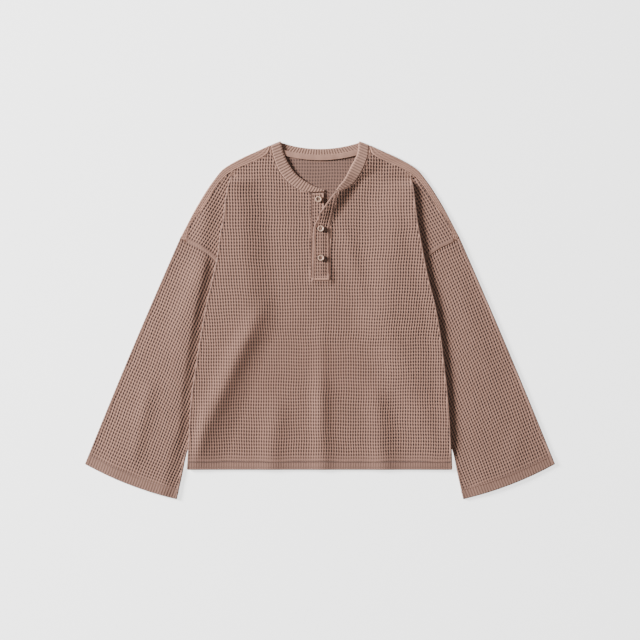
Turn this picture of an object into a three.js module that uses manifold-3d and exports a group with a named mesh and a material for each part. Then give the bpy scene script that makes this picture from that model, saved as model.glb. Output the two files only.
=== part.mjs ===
// Long-sleeved henley shirt in waffle knit, laid flat with its front up.
// Millimetres. +Z is up off the surface, +Y points to the neck, +X to the viewer's right.
// "out" is the distance from the centre line towards the side that is being made.
import * as THREE from 'three';
import Module from 'manifold-3d';

const wasm = await Module();
wasm.setup();

// Cloth thickness and the way its layers stack
const WALL = 1.6;
const BAND_WALL = 2.0;
const PLACKET_WALL = 1.7;
const TAPE_WALL = 1.0;
const RIB_HEIGHT = 0.5;
const SEAM_GAP = 0.35;
const LAYER = 2.2;
const FOLD_RADIUS = LAYER / 2;
const FLOOR_LAYER = WALL / 2;
const FRONT_LAYER = FLOOR_LAYER + LAYER;
const UNDER_LAYER = FRONT_LAYER + LAYER;

// Main heights along the shirt
const NECK_CORNER_Y = 321.4;
const NECK_SEAM_Y = 314;
const NOTCH_TOP_Y = 229.6;
const NOTCH_BOTTOM_Y = 76;
const SHOULDER_END_Y = 147.2;
const WING_CORNER_Y = 139.8;
const UNDERARM_Y = 3.2;
const HEM_Y = -269.4;
const CUFF_LOW_Y = -322.5;

// Visible folds at the sides of the body: distance out at each height
const SIDE_FOLD = [
  { y: 262, left: 160, right: 164 },
  { y: 230, left: 168, right: 170 },
  { y: 205, left: 172, right: 173 },
  { y: 181, left: 174, right: 176 },
  { y: 160, left: 179, right: 179.5 },
  { y: 117, left: 184.5, right: 187.5 },
  { y: 75, left: 193.5, right: 196 },
  { y: 25, left: 205, right: 208.5 },
  { y: -33, left: 215.5, right: 218.5 },
  { y: -107, left: 227, right: 227.5 },
  { y: -137, left: 231.5, right: 230.5 },
  { y: -238, left: 237.5, right: 237 },
  { y: HEM_Y, left: 239.5, right: 238 },
];
const PLEAT_TOP_Y = { left: 262, right: 255 };
const PLEAT_TURN_LENGTH = 18;
const PLEAT_DEPTH_LENGTH = 30;
const PLEAT_RAMP = 34;

// Height of the turned-under cloth along the side, which drops to the surface at the hem
const UNDER_HEIGHT = [
  { y: UNDERARM_Y, z: UNDER_LAYER },
  { y: -200, z: UNDER_LAYER },
  { y: -240, z: 4.4 },
  { y: HEM_Y, z: 2.2 },
];

// Inner line of the hidden pleat above the underarm, and the side seam below it
const PLEAT_INNER_TOP = { y: 262, out: 160 };
const UNDERARM_OUT = 133.2;
const SIDE_SEAM = [
  { y: UNDERARM_Y, out: UNDERARM_OUT },
  { y: -20, out: 133.4 },
  { y: -45, out: 138.5 },
  { y: -73, out: 147.5 },
  { y: -144, out: 175.5 },
  { y: -216, out: 204 },
  { y: HEM_Y, out: 226 },
];
const STEP_LENGTH = 48;
const STEP_ANGLE = 40;

// Shoulder: the fold that shows as the outline, and the seam just forward of it
const SHOULDER_FOLD = [
  { y: NECK_SEAM_Y, out: 90 },
  { y: 305.6, out: 108 },
  { y: 287.6, out: 147.6 },
  { y: 269.6, out: 176.4 },
  { y: 251.6, out: 190.8 },
  { y: 233.6, out: 203.4 },
  { y: 197.6, out: 225 },
  { y: SHOULDER_END_Y, out: 251.5 },
];
const SHOULDER_SEAM = [
  { y: NECK_SEAM_Y, out: 89.4 },
  { y: 302, out: 91.5 },
  { y: 267.8, out: 157.1 },
  { y: 255.2, out: 173.7 },
  { y: 208.4, out: 207 },
  { y: 159.8, out: 237.2 },
  { y: WING_CORNER_Y, out: 240.5 },
];
const ARMHOLE = [
  { y: SHOULDER_END_Y, out: 251.5 },
  { y: WING_CORNER_Y, out: 240.5 },
  { y: 128.3, out: 217.1 },
  { y: 116.9, out: 200.5 },
  { y: 104.5, out: 188.3 },
  { y: 68, out: 165.6 },
  { y: 35.6, out: 147.6 },
  { y: UNDERARM_Y, out: UNDERARM_OUT },
];

// Sleeves: the fold along the inner side runs on under the body
const SLEEVE_INNER = [
  { out: UNDERARM_OUT, y: UNDERARM_Y },
  { out: 187, y: -118 },
  { out: 238.5, y: -237 },
  { out: 247.5, y: -279 },
  { out: 257.2, y: CUFF_LOW_Y },
];
const CUFF_OUTER = { out: 422.8, y: -259.1 };
const SLEEVE_BOW = 2;
const CUFF_BOW = 6;
const SLEEVE_LOFT = 3.4;
const SLEEVE_LOFT_RUN = 36;

// Neckband: matching points on its free edge and its seam, from the neck corner to its end
const BAND_LEFT = [
  { free: [-65, 299.3], seam: [-83.5, 292.4] },
  { free: [-54, 277.3], seam: [-73.3, 267.2] },
  { free: [-41.4, 260.6], seam: [-57.1, 247.6] },
  { free: [-24.7, 248], seam: [-34.2, 233.2] },
  { free: [-8.1, 239], seam: [-14.4, 229.6] },
  { free: [7.2, 233.6], seam: [7.2, 230.6] },
];
const BAND_RIGHT = [
  { free: [67.1, 299.3], seam: [85.5, 291.2] },
  { free: [54.4, 273.5], seam: [73.8, 263.8] },
  { free: [43.2, 251.6], seam: [59.9, 244.4] },
  { free: [34.9, 241.3], seam: [44.1, 234.8] },
  { free: [28.8, 232.8], seam: [32.4, 230.4] },
];
const NECK_CORNER_OUT = 70.6;
const NECK_SEAM_OUT = 89;
const BACK_FREE_Y = 307.4;
const BACK_SEAM_Y = 288.5;
const BAND_LAYER = BAND_WALL / 2;
const RIB_PITCH = 5;

// Tape over the back neck seam, on the inside of the back
const TAPE = { halfLength: 72, upperY: 296.6, lowerY: 286.7, rise: 4.9, riseAt: 49 };

const PLACKET_LIFT = 2.3;

// Crest of the cloth round the neck: where it lies, its lift, its flat top and its slope
const CREST = {
  left: [
    { y: NECK_CORNER_Y, out: 70.6, lift: 2.3, flat: 22, slope: 60 },
    { y: 299.3, out: 65, lift: 2.2, flat: 22, slope: 60 },
    { y: 277.3, out: 54, lift: 1.3, flat: 15, slope: 60 },
    { y: 248, out: 24.7, lift: 0.4, flat: 10, slope: 60 },
    { y: 232, out: -7.2, lift: 0, flat: 10, slope: 60 },
  ],
  right: [
    { y: NECK_CORNER_Y, out: 70.6, lift: 2.3, flat: 22, slope: 60 },
    { y: 299.3, out: 67.1, lift: 2.4, flat: 20, slope: 60 },
    { y: 273.5, out: 54.4, lift: 3.4, flat: 8, slope: 55 },
    { y: 251.6, out: 43.2, lift: 5.2, flat: 2, slope: 46 },
    { y: 231.8, out: 28.8, lift: 6.4, flat: 0, slope: 44 },
    { y: 215.6, out: 16.2, lift: 6.5, flat: 0, slope: 46 },
    { y: 192.2, out: 0.5, lift: 5.2, flat: 2, slope: 40 },
    { y: 180.6, out: -3.6, lift: 3.9, flat: 8, slope: 28 },
    { y: 170.6, out: -8.5, lift: 2.7, flat: 15, slope: 16 },
    { y: 161.9, out: -10.4, lift: PLACKET_LIFT, flat: 19, slope: 10 },
    { y: 71.6, out: -11.7, lift: PLACKET_LIFT, flat: 20, slope: 9 },
    { y: 56, out: -11.7, lift: 0, flat: 20, slope: 9 },
  ],
};

// Placket
const NOTCH_LEFT = -15.2;
const NOTCH_RIGHT = [
  { y: NOTCH_TOP_Y, x: 32.6 },
  { y: 215, x: 29 },
  { y: 190, x: 23.6 },
  { y: 160, x: 17.9 },
  { y: NOTCH_BOTTOM_Y, x: 17.9 },
];
const PLACKET = { bottomY: 71.6, topY: 228.4, boxY: 84 };
const PLACKET_ROLL = { startY: 188, turnLength: 12, depth: 10, depthLength: 16, keep: 5 };
const UNDER_PLACKET = { left: -14.5, right: 7.2, bottomY: 76.8, topY: 228.6 };

// Soft folds of the front: a ridge from one point to another
const FRONT_FOLDS = [
  { x0: 4, y0: HEM_Y, x1: 0, y1: -60, height: 2.2, width: 17 },
  { x0: -90, y0: HEM_Y, x1: -74, y1: -120, height: 2, width: 20 },
  { x0: 113, y0: HEM_Y, x1: 100, y1: -90, height: 2.4, width: 20 },
  { x0: -150, y0: -210, x1: -70, y1: 70, height: 1.8, width: 16 },
  { x0: 70, y0: 60, x1: 40, y1: 190, height: 1.2, width: 14 },
];
const SLEEVE_FOLDS = {
  left: [
    { x0: -292, y0: 22, x1: -352, y1: -125, height: 1.6, width: 12 },
    { x0: -330, y0: -230, x1: -300, y1: -90, height: 1.2, width: 14 },
  ],
  right: [
    { x0: 262, y0: 60, x1: 330, y1: -170, height: 2, width: 16 },
    { x0: 350, y0: -250, x1: 372, y1: -140, height: 1.2, width: 14 },
  ],
};

// Buttons: centre, and the piece that each is sewn on
const BUTTON = { radius: 5.7, thickness: 2.6, rim: 1.5, dish: 0.9, holeRadius: 0.75, holeOffset: 1.25 };
const BUTTON_SIDES = 18;
const HOLE_SIDES = 6;
const BUTTON_PLACES = [
  { name: 'button_1', x: -2.5, y: 216.6, on: 'placket_under' },
  { name: 'button_2', x: 1.6, y: 163.7, on: 'placket_top' },
  { name: 'button_3', x: 1.8, y: 111.2, on: 'placket_top' },
];

const CLOTH_COLOUR = 0x9c7d73;
const RIB_COLOUR = 0xa3847a;
const BUTTON_COLOUR = 0xd9bfae;

const SIGN = { left: -1, right: 1 };
const TURN_STEPS = 4;

const clamp01 = (value) => Math.min(1, Math.max(0, value));
const smooth = (value) => {
  const t = clamp01(value);
  return t * t * (3 - 2 * t);
};
const radians = (degrees) => (degrees * Math.PI) / 180;
const steps = (count) => Array.from({ length: count + 1 }, (_, i) => i / count);

// Smooth value of a table's column at height y. The rows run down from the greatest y.
function at(table, column, y) {
  const last = table.length - 1;
  if (y >= table[0].y) return table[0][column];
  if (y <= table[last].y) return table[last][column];
  const i = table.findIndex((row, k) => k < last && y <= row.y && y > table[k + 1].y);
  const slope = (k) => (table[k + 1][column] - table[k][column]) / (table[k + 1].y - table[k].y);
  const tangent = (k) => {
    if (k === 0) return slope(0);
    if (k === last) return slope(last - 1);
    const before = slope(k - 1);
    const after = slope(k);
    return before * after <= 0 ? 0 : (2 * before * after) / (before + after);
  };
  const h = table[i + 1].y - table[i].y;
  const t = (y - table[i].y) / h;
  const t2 = t * t;
  const t3 = t2 * t;
  return (
    (2 * t3 - 3 * t2 + 1) * table[i][column] +
    (t3 - 2 * t2 + t) * h * tangent(i) +
    (-2 * t3 + 3 * t2) * table[i + 1][column] +
    (t3 - t2) * h * tangent(i + 1)
  );
}

// Heights from a start down through stops, no further apart than each stop's step
function rowsDown(start, stops) {
  const rows = [start];
  for (const { to, step } of stops) {
    const from = rows[rows.length - 1];
    const count = Math.ceil((from - to) / step);
    for (const t of steps(count).slice(1)) rows.push(from + (to - from) * t);
  }
  return rows;
}

// Points of a polyline, spread evenly along its length
function spread(points, count) {
  const lengths = [0];
  points.slice(1).forEach((p, i) => lengths.push(lengths[i] + p.distanceTo(points[i])));
  const total = lengths[lengths.length - 1];
  return steps(count).map((t) => {
    const target = t * total;
    const i = Math.max(1, lengths.findIndex((length) => length >= target - 1e-9));
    const part = (target - lengths[i - 1]) / (lengths[i] - lengths[i - 1]);
    return points[i - 1].clone().lerp(points[i], part);
  });
}

// Height added by soft ridges
function ridgeLift(folds, x, y) {
  let lift = 0;
  for (const fold of folds) {
    const along = (y - fold.y0) / (fold.y1 - fold.y0);
    const centre = fold.x0 + (fold.x1 - fold.x0) * along;
    const across = (x - centre) / fold.width;
    const fade = smooth((1 - along) / 0.45) * smooth((along + 0.35) / 0.35);
    lift += fold.height * Math.exp(-across * across) * fade;
  }
  return lift;
}

function neckLift(side, out, y) {
  const table = CREST[side];
  const past = out - at(table, 'out', y) - at(table, 'flat', y);
  return at(table, 'lift', y) * (1 - smooth(past / at(table, 'slope', y)));
}

// A closed solid from sheets of points: each sheet is a grid, [row][column] of Vector3.
// Equal points are joined, and the wall stands half to each side. raise(row, column, sheet)
// gives what is added on the face and on the reverse.
function cloth(name, colour, sheets, wall, raise = () => [0, 0]) {
  const points = [];
  const extra = [];
  const index = new Map();
  const vertex = (p, added) => {
    const key = [p.x, p.y, p.z].map((v) => Math.round(v * 1000)).join();
    if (!index.has(key)) {
      index.set(key, points.length);
      points.push(p.clone());
      extra.push(added);
    }
    return index.get(key);
  };
  const faces = [];
  const addFace = (a, b, c) => {
    if (a !== b && b !== c && a !== c) faces.push([a, b, c]);
  };
  sheets.forEach((grid, s) => {
    const ids = grid.map((row, i) => row.map((p, j) => vertex(p, raise(i, j, s))));
    for (let i = 0; i + 1 < grid.length; i++) {
      for (let j = 0; j + 1 < grid[i].length; j++) {
        const [a, b, c, d] = [ids[i][j], ids[i][j + 1], ids[i + 1][j + 1], ids[i + 1][j]];
        addFace(a, b, c);
        addFace(a, c, d);
      }
    }
  });
  const normals = points.map(() => new THREE.Vector3());
  for (const [a, b, c] of faces) {
    const n = points[b].clone().sub(points[a]).cross(points[c].clone().sub(points[a])).normalize();
    for (const [p, q, r] of [[a, b, c], [b, c, a], [c, a, b]]) {
      const angle = points[q].clone().sub(points[p]).angleTo(points[r].clone().sub(points[p]));
      normals[p].addScaledVector(n, angle);
    }
  }
  const count = points.length;
  const place = [];
  for (const direction of [1, -1]) {
    points.forEach((p, i) => {
      const reach = wall / 2 + (direction > 0 ? extra[i][0] : extra[i][1]);
      place.push(p.clone().addScaledVector(normals[i].clone().normalize(), direction * reach));
    });
  }
  const triangles = [];
  const edges = new Map();
  for (const [a, b, c] of faces) {
    triangles.push([a, b, c], [a + count, c + count, b + count]);
    for (const [p, q] of [[a, b], [b, c], [c, a]]) edges.set(`${p},${q}`, [p, q]);
  }
  for (const [p, q] of edges.values()) {
    if (!edges.has(`${q},${p}`)) triangles.push([p, p + count, q + count], [p, q + count, q]);
  }
  return solid(name, colour, place, triangles);
}

function solid(name, colour, place, triangles) {
  let volume = 0;
  for (const [a, b, c] of triangles) volume += place[a].dot(place[b].clone().cross(place[c]));
  const order = volume > 0 ? (t) => t : ([a, b, c]) => [a, c, b];
  const geometry = new THREE.BufferGeometry();
  geometry.setAttribute('position', new THREE.Float32BufferAttribute(place.flatMap((p) => p.toArray()), 3));
  geometry.setIndex(triangles.flatMap(order));
  return mesh(name, colour, geometry);
}

function mesh(name, colour, geometry) {
  geometry.computeVertexNormals();
  const roughness = colour === BUTTON_COLOUR ? 0.35 : 0.92;
  const made = new THREE.Mesh(geometry, new THREE.MeshStandardMaterial({ color: colour, roughness, metalness: 0 }));
  made.name = name;
  return made;
}

// Neckband line: one curve along the free edge and one along the seam, for each side
function bandCurves(side) {
  const sign = SIGN[side];
  const along = new THREE.Vector2(NECK_SEAM_OUT - NECK_CORNER_OUT, NECK_SEAM_Y - NECK_CORNER_Y).normalize();
  const past = new THREE.Vector2(-along.y, along.x);
  const radius = (FRONT_LAYER + CREST[side][0].lift - BAND_LAYER) / 2;
  const inset = radius + BAND_WALL / 2;
  const corner = (out, y) => new THREE.Vector3(sign * (out - past.x * inset), y - past.y * inset, 0);
  const table = side === 'left' ? BAND_LEFT : BAND_RIGHT;
  const curve = (edge, start) => {
    const stations = table.map((row) => new THREE.Vector3(row[edge][0], row[edge][1], 0));
    return new THREE.CatmullRomCurve3([start, ...stations], false, 'centripetal');
  };
  return {
    free: curve('free', corner(NECK_CORNER_OUT, NECK_CORNER_Y)),
    seam: curve('seam', corner(NECK_SEAM_OUT, NECK_SEAM_Y)),
    radius,
    past: new THREE.Vector3(sign * past.x, past.y, 0),
  };
}

const BANDS = { left: bandCurves('left'), right: bandCurves('right') };
const SEAM_LINES = { left: BANDS.left.seam.getPoints(300), right: BANDS.right.seam.getPoints(300) };

// Distance out of the front's neck seam at a height
function neckSeamOut(side, y) {
  const line = SEAM_LINES[side];
  const i = line.findIndex((p, k) => k > 0 && p.y <= y);
  if (i < 0) return -Infinity;
  const part = (line[i - 1].y - y) / (line[i - 1].y - line[i].y);
  return SIGN[side] * (line[i - 1].x + (line[i].x - line[i - 1].x) * part);
}

function frontInner(side, y) {
  const notch = side === 'left' ? -NOTCH_LEFT : at(NOTCH_RIGHT, 'x', y) + SEAM_GAP;
  if (y < NOTCH_TOP_Y) return notch;
  return Math.max(notch, neckSeamOut(side, y + 1.5 * SEAM_GAP) + 1.5 * SEAM_GAP);
}

// Outer end of the front at a height: shoulder seam, then armhole
function frontOuter(y) {
  const seam = y > WING_CORNER_Y ? at(SHOULDER_SEAM, 'out', y) : at(ARMHOLE, 'out', y);
  return seam - SEAM_GAP;
}

// How the front turns under at the side, at one height
function pleat(side, y) {
  const fold = at(SIDE_FOLD, side, y) - WALL / 2 - FOLD_RADIUS;
  const below = PLEAT_TOP_Y[side] - y;
  if (y <= UNDERARM_Y) {
    const t = clamp01((UNDERARM_Y - y) / STEP_LENGTH);
    const first = radians(180 - (180 - STEP_ANGLE) * t);
    const second = radians(180 - 180 * t);
    const under = at(UNDER_HEIGHT, 'z', y);
    const drop = LAYER + (under - FLOOR_LAYER - LAYER) * t;
    const radius = drop / (1 - Math.cos(first) + Math.cos(second) - Math.cos(first));
    const end = at(SIDE_SEAM, 'out', y) + SEAM_GAP;
    const run = radius * (2 * Math.sin(first) - Math.sin(second));
    return { fold, turn: Math.PI, under, inner: end + run, first, second, radius, end };
  }
  const turn = Math.PI * clamp01(below / PLEAT_TURN_LENGTH);
  const whole = (PLEAT_INNER_TOP.y - y) / (PLEAT_INNER_TOP.y - UNDERARM_Y);
  const innerLine = PLEAT_INNER_TOP.out + (UNDERARM_OUT - 1 - PLEAT_INNER_TOP.out) * whole;
  const depth = Math.max(0, fold - innerLine) * clamp01((below - PLEAT_TURN_LENGTH) / PLEAT_DEPTH_LENGTH);
  const start = below > 0 ? fold : Math.min(fold, frontOuter(y) - 4);
  return {
    fold: start,
    turn,
    under: FRONT_LAYER + FOLD_RADIUS * (1 - Math.cos(turn)),
    inner: start + FOLD_RADIUS * Math.sin(turn) - depth,
    end: frontOuter(y),
  };
}

// Middle height of the front's upper layer
function frontHeight(side, out, y) {
  const p = pleat(side, y);
  const top = p.under + FOLD_RADIUS * (1 - Math.cos(p.turn));
  const away = (p.inner - 3 - out) / PLEAT_RAMP;
  const pleatLift = (top - FRONT_LAYER) * (1 - smooth(away));
  const soft = ridgeLift(FRONT_FOLDS, SIGN[side] * out, y) * smooth((p.fold - out) / 25);
  const calm = smooth((out - frontInner(side, y)) / 12);
  return FRONT_LAYER + pleatLift + neckLift(side, out, y) + soft * (y > NOTCH_BOTTOM_Y ? calm : 1);
}

// Heights of the back neck seam, and those that the front and the back share down to the underarm
const BACK_NECK = (() => {
  const end = BANDS.right.seam.getPoint(0);
  const drop = end.y - BACK_SEAM_Y;
  return {
    out: end.x + SEAM_GAP,
    drop,
    rows: steps(8).map((t) => BACK_SEAM_Y - SEAM_GAP + drop * (1 - t) ** 2),
  };
})();
const FRONT_NECK_ROWS = BACK_NECK.rows.filter((y) => y < BANDS.left.seam.getPoint(0).y - 8);
const SHOULDER_ROWS = [
  ...FRONT_NECK_ROWS,
  ...rowsDown(FRONT_NECK_ROWS[FRONT_NECK_ROWS.length - 1], [
    { to: 262, step: 9 },
    { to: 234, step: 7.5 },
    { to: NOTCH_TOP_Y, step: 1.5 },
    { to: SHOULDER_END_Y, step: 12 },
    { to: WING_CORNER_Y, step: 8 },
    { to: NOTCH_BOTTOM_Y, step: 13 },
    { to: UNDERARM_Y, step: 19 },
  ]).slice(1),
];
const FRONT_ACROSS = [0, 0.1, 0.22, 0.36, 0.5, 0.63, 0.75, 0.87, 1];

function frontRow(side, y) {
  const sign = SIGN[side];
  const p = pleat(side, y);
  const inner = frontInner(side, y);
  const row = [];
  const add = (out, z) => row.push(new THREE.Vector3(sign * out, y, z));
  for (const t of FRONT_ACROSS) {
    const out = inner + (p.fold - inner) * t;
    add(out, frontHeight(side, out, y));
  }
  const top = frontHeight(side, p.fold, y);
  for (const t of steps(TURN_STEPS).slice(1)) {
    add(p.fold + FOLD_RADIUS * Math.sin(p.turn * t), top - FOLD_RADIUS * (1 - Math.cos(p.turn * t)));
  }
  const under = top - FOLD_RADIUS * (1 - Math.cos(p.turn));
  add(p.inner, under);
  if (y <= UNDERARM_Y) {
    for (const t of steps(TURN_STEPS).slice(1)) {
      const angle = p.first * t;
      add(p.inner - p.radius * Math.sin(angle), under - p.radius * (1 - Math.cos(angle)));
    }
    const turned = p.inner - p.radius * Math.sin(p.first);
    const low = under - p.radius * (1 - Math.cos(p.first));
    for (const t of steps(3).slice(1)) {
      const angle = p.first + (p.second - p.first) * t;
      add(
        turned - p.radius * (Math.sin(p.first) - Math.sin(angle)),
        low - p.radius * (Math.cos(angle) - Math.cos(p.first)),
      );
    }
    return row;
  }
  for (const t of steps(TURN_STEPS).slice(1)) {
    const angle = p.turn * (1 - t);
    const out = p.inner + FOLD_RADIUS * (Math.sin(p.turn) - Math.sin(angle));
    add(out, under - FOLD_RADIUS * (Math.cos(angle) - Math.cos(p.turn)));
  }
  const wing = row[row.length - 1];
  for (const t of steps(3).slice(1)) add(sign * wing.x + (p.end - sign * wing.x) * t, wing.z);
  return row;
}

function front() {
  const rows = [
    ...SHOULDER_ROWS,
    ...rowsDown(UNDERARM_Y, [
      { to: UNDERARM_Y - STEP_LENGTH, step: 12.5 },
      { to: -238, step: 33 },
      { to: HEM_Y, step: 16 },
    ]).slice(1),
  ];
  const left = rows.map((y) => frontRow('left', y));
  const right = rows.map((y) => frontRow('right', y));
  const middle = rows
    .map((y, i) => [y, i])
    .filter(([y]) => y <= NOTCH_BOTTOM_Y)
    .map(([y, i]) => {
      const from = left[i][0];
      const to = right[i][0];
      const x = (from.x + to.x) / 2;
      const height = FRONT_LAYER + ridgeLift(FRONT_FOLDS, x, y);
      return [from.clone(), new THREE.Vector3(x, y, height), to.clone()];
    });
  return cloth('front', CLOTH_COLOUR, [left.map((row) => row.reverse()), middle, right], WALL);
}

// Back: flat on the surface, rolled over the shoulders to the seam in front
function back() {
  const rows = [
    ...BACK_NECK.rows.filter((y) => y > SHOULDER_ROWS[0]),
    ...SHOULDER_ROWS,
    ...rowsDown(UNDERARM_Y, [
      { to: UNDERARM_Y - STEP_LENGTH, step: 12.5 },
      { to: HEM_Y, step: 45 },
    ]).slice(1),
  ];
  const sheets = [];
  for (const side of ['left', 'right']) {
    const sign = SIGN[side];
    const point = (out, y, z) => new THREE.Vector3(sign * out, y, z);
    const inner = (y) => BACK_NECK.out * Math.sqrt(clamp01((y + SEAM_GAP - BACK_SEAM_Y) / BACK_NECK.drop));
    const seamHeight = (y) => FRONT_LAYER + neckLift(side, at(SHOULDER_SEAM, 'out', y), y);
    const radius = (y) => (seamHeight(y) - FLOOR_LAYER) / 2;
    const edge = (y) => {
      if (y >= SHOULDER_END_Y) {
        return Math.max(inner(y) + 0.4, at(SHOULDER_FOLD, 'out', y) - radius(y) - WALL / 2);
      }
      const seam = y > UNDERARM_Y ? at(ARMHOLE, 'out', y) : at(SIDE_SEAM, 'out', y);
      return seam - SEAM_GAP;
    };
    const floor = rows.map((y) =>
      steps(2).map((t) => point(inner(y) + (edge(y) - inner(y)) * t, y, FLOOR_LAYER)),
    );
    const rolled = rows
      .filter((y) => y >= SHOULDER_END_Y)
      .map((y) => {
        const turn = steps(TURN_STEPS).map((t) => {
          const angle = Math.PI * t;
          const out = edge(y) + radius(y) * Math.sin(angle);
          return point(out, y, FLOOR_LAYER + radius(y) * (1 - Math.cos(angle)));
        });
        const seam = Math.min(at(SHOULDER_SEAM, 'out', y) + SEAM_GAP, edge(y) - 0.2);
        return [...turn, point(seam, y, seamHeight(y))];
      });
    const last = rolled[rolled.length - 1];
    const tip = point(at(SHOULDER_SEAM, 'out', WING_CORNER_Y) + SEAM_GAP, WING_CORNER_Y, last[last.length - 1].z);
    const corner = [last.slice(-2).map((p) => p.clone()), [tip, tip.clone()]];
    const grids = [floor, rolled, corner];
    sheets.push(...(sign > 0 ? grids : grids.map((grid) => grid.map((row) => row.slice().reverse()))));
  }
  return cloth('back', CLOTH_COLOUR, sheets, WALL);
}

// Sleeve: a flattened tube between the armhole and the cuff
function sleeve(side) {
  const sign = SIGN[side];
  const around = 14;
  const along = 9;
  const flat = (out, y) => new THREE.Vector3(sign * out, y, 0);
  const armholeRows = steps(60).map((t) => SHOULDER_END_Y + (UNDERARM_Y - SHOULDER_END_Y) * t);
  const armhole = spread(armholeRows.map((y) => flat(at(ARMHOLE, 'out', y), y)), around);
  const innerCurve = new THREE.CatmullRomCurve3(SLEEVE_INNER.map((p) => flat(p.out, p.y)), false, 'centripetal');
  const inner = spread(innerCurve.getPoints(80), along);
  const cuffOuter = flat(CUFF_OUTER.out, CUFF_OUTER.y);
  const cuffInner = inner[along];
  const cuffDirection = cuffInner.clone().sub(cuffOuter);
  const cuffNormal = new THREE.Vector3(-cuffDirection.y, cuffDirection.x, 0).normalize().multiplyScalar(-sign);
  if (cuffNormal.y > 0) cuffNormal.negate();
  const cuff = steps(around).map((t) =>
    cuffOuter.clone().lerp(cuffInner, t).addScaledVector(cuffNormal, CUFF_BOW * 4 * t * (1 - t)),
  );
  const outer = steps(along).map((t) =>
    armhole[0].clone().lerp(cuffOuter, t).add(flat(SLEEVE_BOW * Math.sin(Math.PI * t), 0)),
  );
  const plan = (s, v) => {
    const i = s * around;
    const k = v * along;
    const sides = outer[k].clone().multiplyScalar(1 - s).addScaledVector(inner[k], s);
    const ends = armhole[i].clone().multiplyScalar(1 - v).addScaledVector(cuff[i], v);
    const corners = armhole[0].clone().multiplyScalar((1 - s) * (1 - v))
      .addScaledVector(armhole[around], s * (1 - v))
      .addScaledVector(cuffOuter, (1 - s) * v)
      .addScaledVector(cuffInner, s * v);
    return sides.add(ends).sub(corners);
  };
  const down = cuffOuter.clone().sub(armhole[0]).normalize();
  const grid = steps(along).map((v) => {
    const start = v === 0 ? SEAM_GAP : 0;
    const line = steps(around).map((s) => plan(s, v).addScaledVector(down, 2 * start).add(flat(2 * start, 0)));
    const first = line[1].clone().sub(line[0]).normalize();
    const last = line[around].clone().sub(line[around - 1]).normalize();
    const inset = FOLD_RADIUS + WALL / 2;
    const layer = line.map((p, i) => {
      const s = i / around;
      return p.clone().addScaledVector(first, inset * (1 - s)).addScaledVector(last, -inset * s);
    });
    const raised = (p, i) => {
      const fromBody = Math.abs(p.x) - at(SIDE_FOLD, side, p.y) - 6;
      const fromEdge = p.distanceTo(layer[0]);
      const fromInner = p.distanceTo(layer[around]);
      const room = smooth(fromBody / SLEEVE_LOFT_RUN) * smooth(fromEdge / SLEEVE_LOFT_RUN);
      const free = room * smooth(fromInner / SLEEVE_LOFT_RUN) * (i === 0 || i === around ? 0 : 1);
      return FRONT_LAYER + free * (SLEEVE_LOFT * smooth(v * 6) + ridgeLift(SLEEVE_FOLDS[side], p.x, p.y));
    };
    const ring = layer.map((p, i) => p.clone().setZ(raised(p, i)));
    const turn = (centre, direction, t) => {
      const angle = Math.PI * t;
      return centre.clone().addScaledVector(direction, FOLD_RADIUS * Math.sin(angle))
        .setZ(FLOOR_LAYER + FOLD_RADIUS + FOLD_RADIUS * Math.cos(angle));
    };
    for (const t of steps(TURN_STEPS).slice(1)) ring.push(turn(layer[around], last, t));
    for (const p of layer.slice(0, -1).reverse()) ring.push(p.clone().setZ(FLOOR_LAYER));
    const outwards = first.clone().negate();
    for (const t of steps(TURN_STEPS).slice(1).reverse().slice(1)) ring.push(turn(layer[0], outwards, t));
    ring.push(ring[0].clone());
    return ring;
  });
  return cloth(`sleeve_${side}`, CLOTH_COLOUR, [grid], WALL);
}

// Neckband: one strip from its left end, under the back of the neck, to its right end
function neckband() {
  const stations = [];
  const height = (side, p) => FRONT_LAYER + neckLift(side, SIGN[side] * p.x, p.y);
  const frontPart = (side) => {
    const { free, seam } = BANDS[side];
    const count = Math.round(seam.getLength() / RIB_PITCH) * 2;
    return steps(count).map((t) => {
      const pair = [free.getPoint(t), seam.getPoint(t)];
      return { points: pair.map((p) => p.setZ(height(side, p))), face: true };
    });
  };
  const turnPart = (side) => {
    const { free, seam, radius, past } = BANDS[side];
    return steps(TURN_STEPS).slice(1, -1).map((t) => {
      const angle = Math.PI * t;
      const lift = BAND_LAYER + radius * (1 + Math.cos(angle));
      const pair = [free.getPoint(0), seam.getPoint(0)];
      return {
        points: pair.map((p) => p.addScaledVector(past, radius * Math.sin(angle)).setZ(lift)),
        flat: true,
      };
    });
  };
  const backPart = () => {
    const freeEnd = BANDS.right.free.getPoint(0);
    const seamEnd = BANDS.right.seam.getPoint(0);
    const count = Math.round((2 * NECK_SEAM_OUT) / RIB_PITCH) * 2;
    return steps(count).map((t) => {
      const u = 2 * t - 1;
      const free = new THREE.Vector3(freeEnd.x * u, BACK_FREE_Y + (freeEnd.y - BACK_FREE_Y) * u * u, BAND_LAYER);
      const seam = new THREE.Vector3(seamEnd.x * u, BACK_SEAM_Y + (seamEnd.y - BACK_SEAM_Y) * u * u, BAND_LAYER);
      return { points: [free, seam], face: false };
    });
  };
  stations.push(...frontPart('left').reverse());
  stations.push(...turnPart('left'));
  stations.push(...backPart());
  stations.push(...turnPart('right').reverse());
  stations.push(...frontPart('right'));
  const grid = stations.map(({ points }) => points);
  const ribs = (i) => {
    const { flat, face } = stations[i];
    const raised = i % 2 === 1 && !flat ? RIB_HEIGHT : 0;
    return face ? [0, raised] : [raised, 0];
  };
  return cloth('neckband', RIB_COLOUR, [grid], BAND_WALL, ribs);
}

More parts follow.
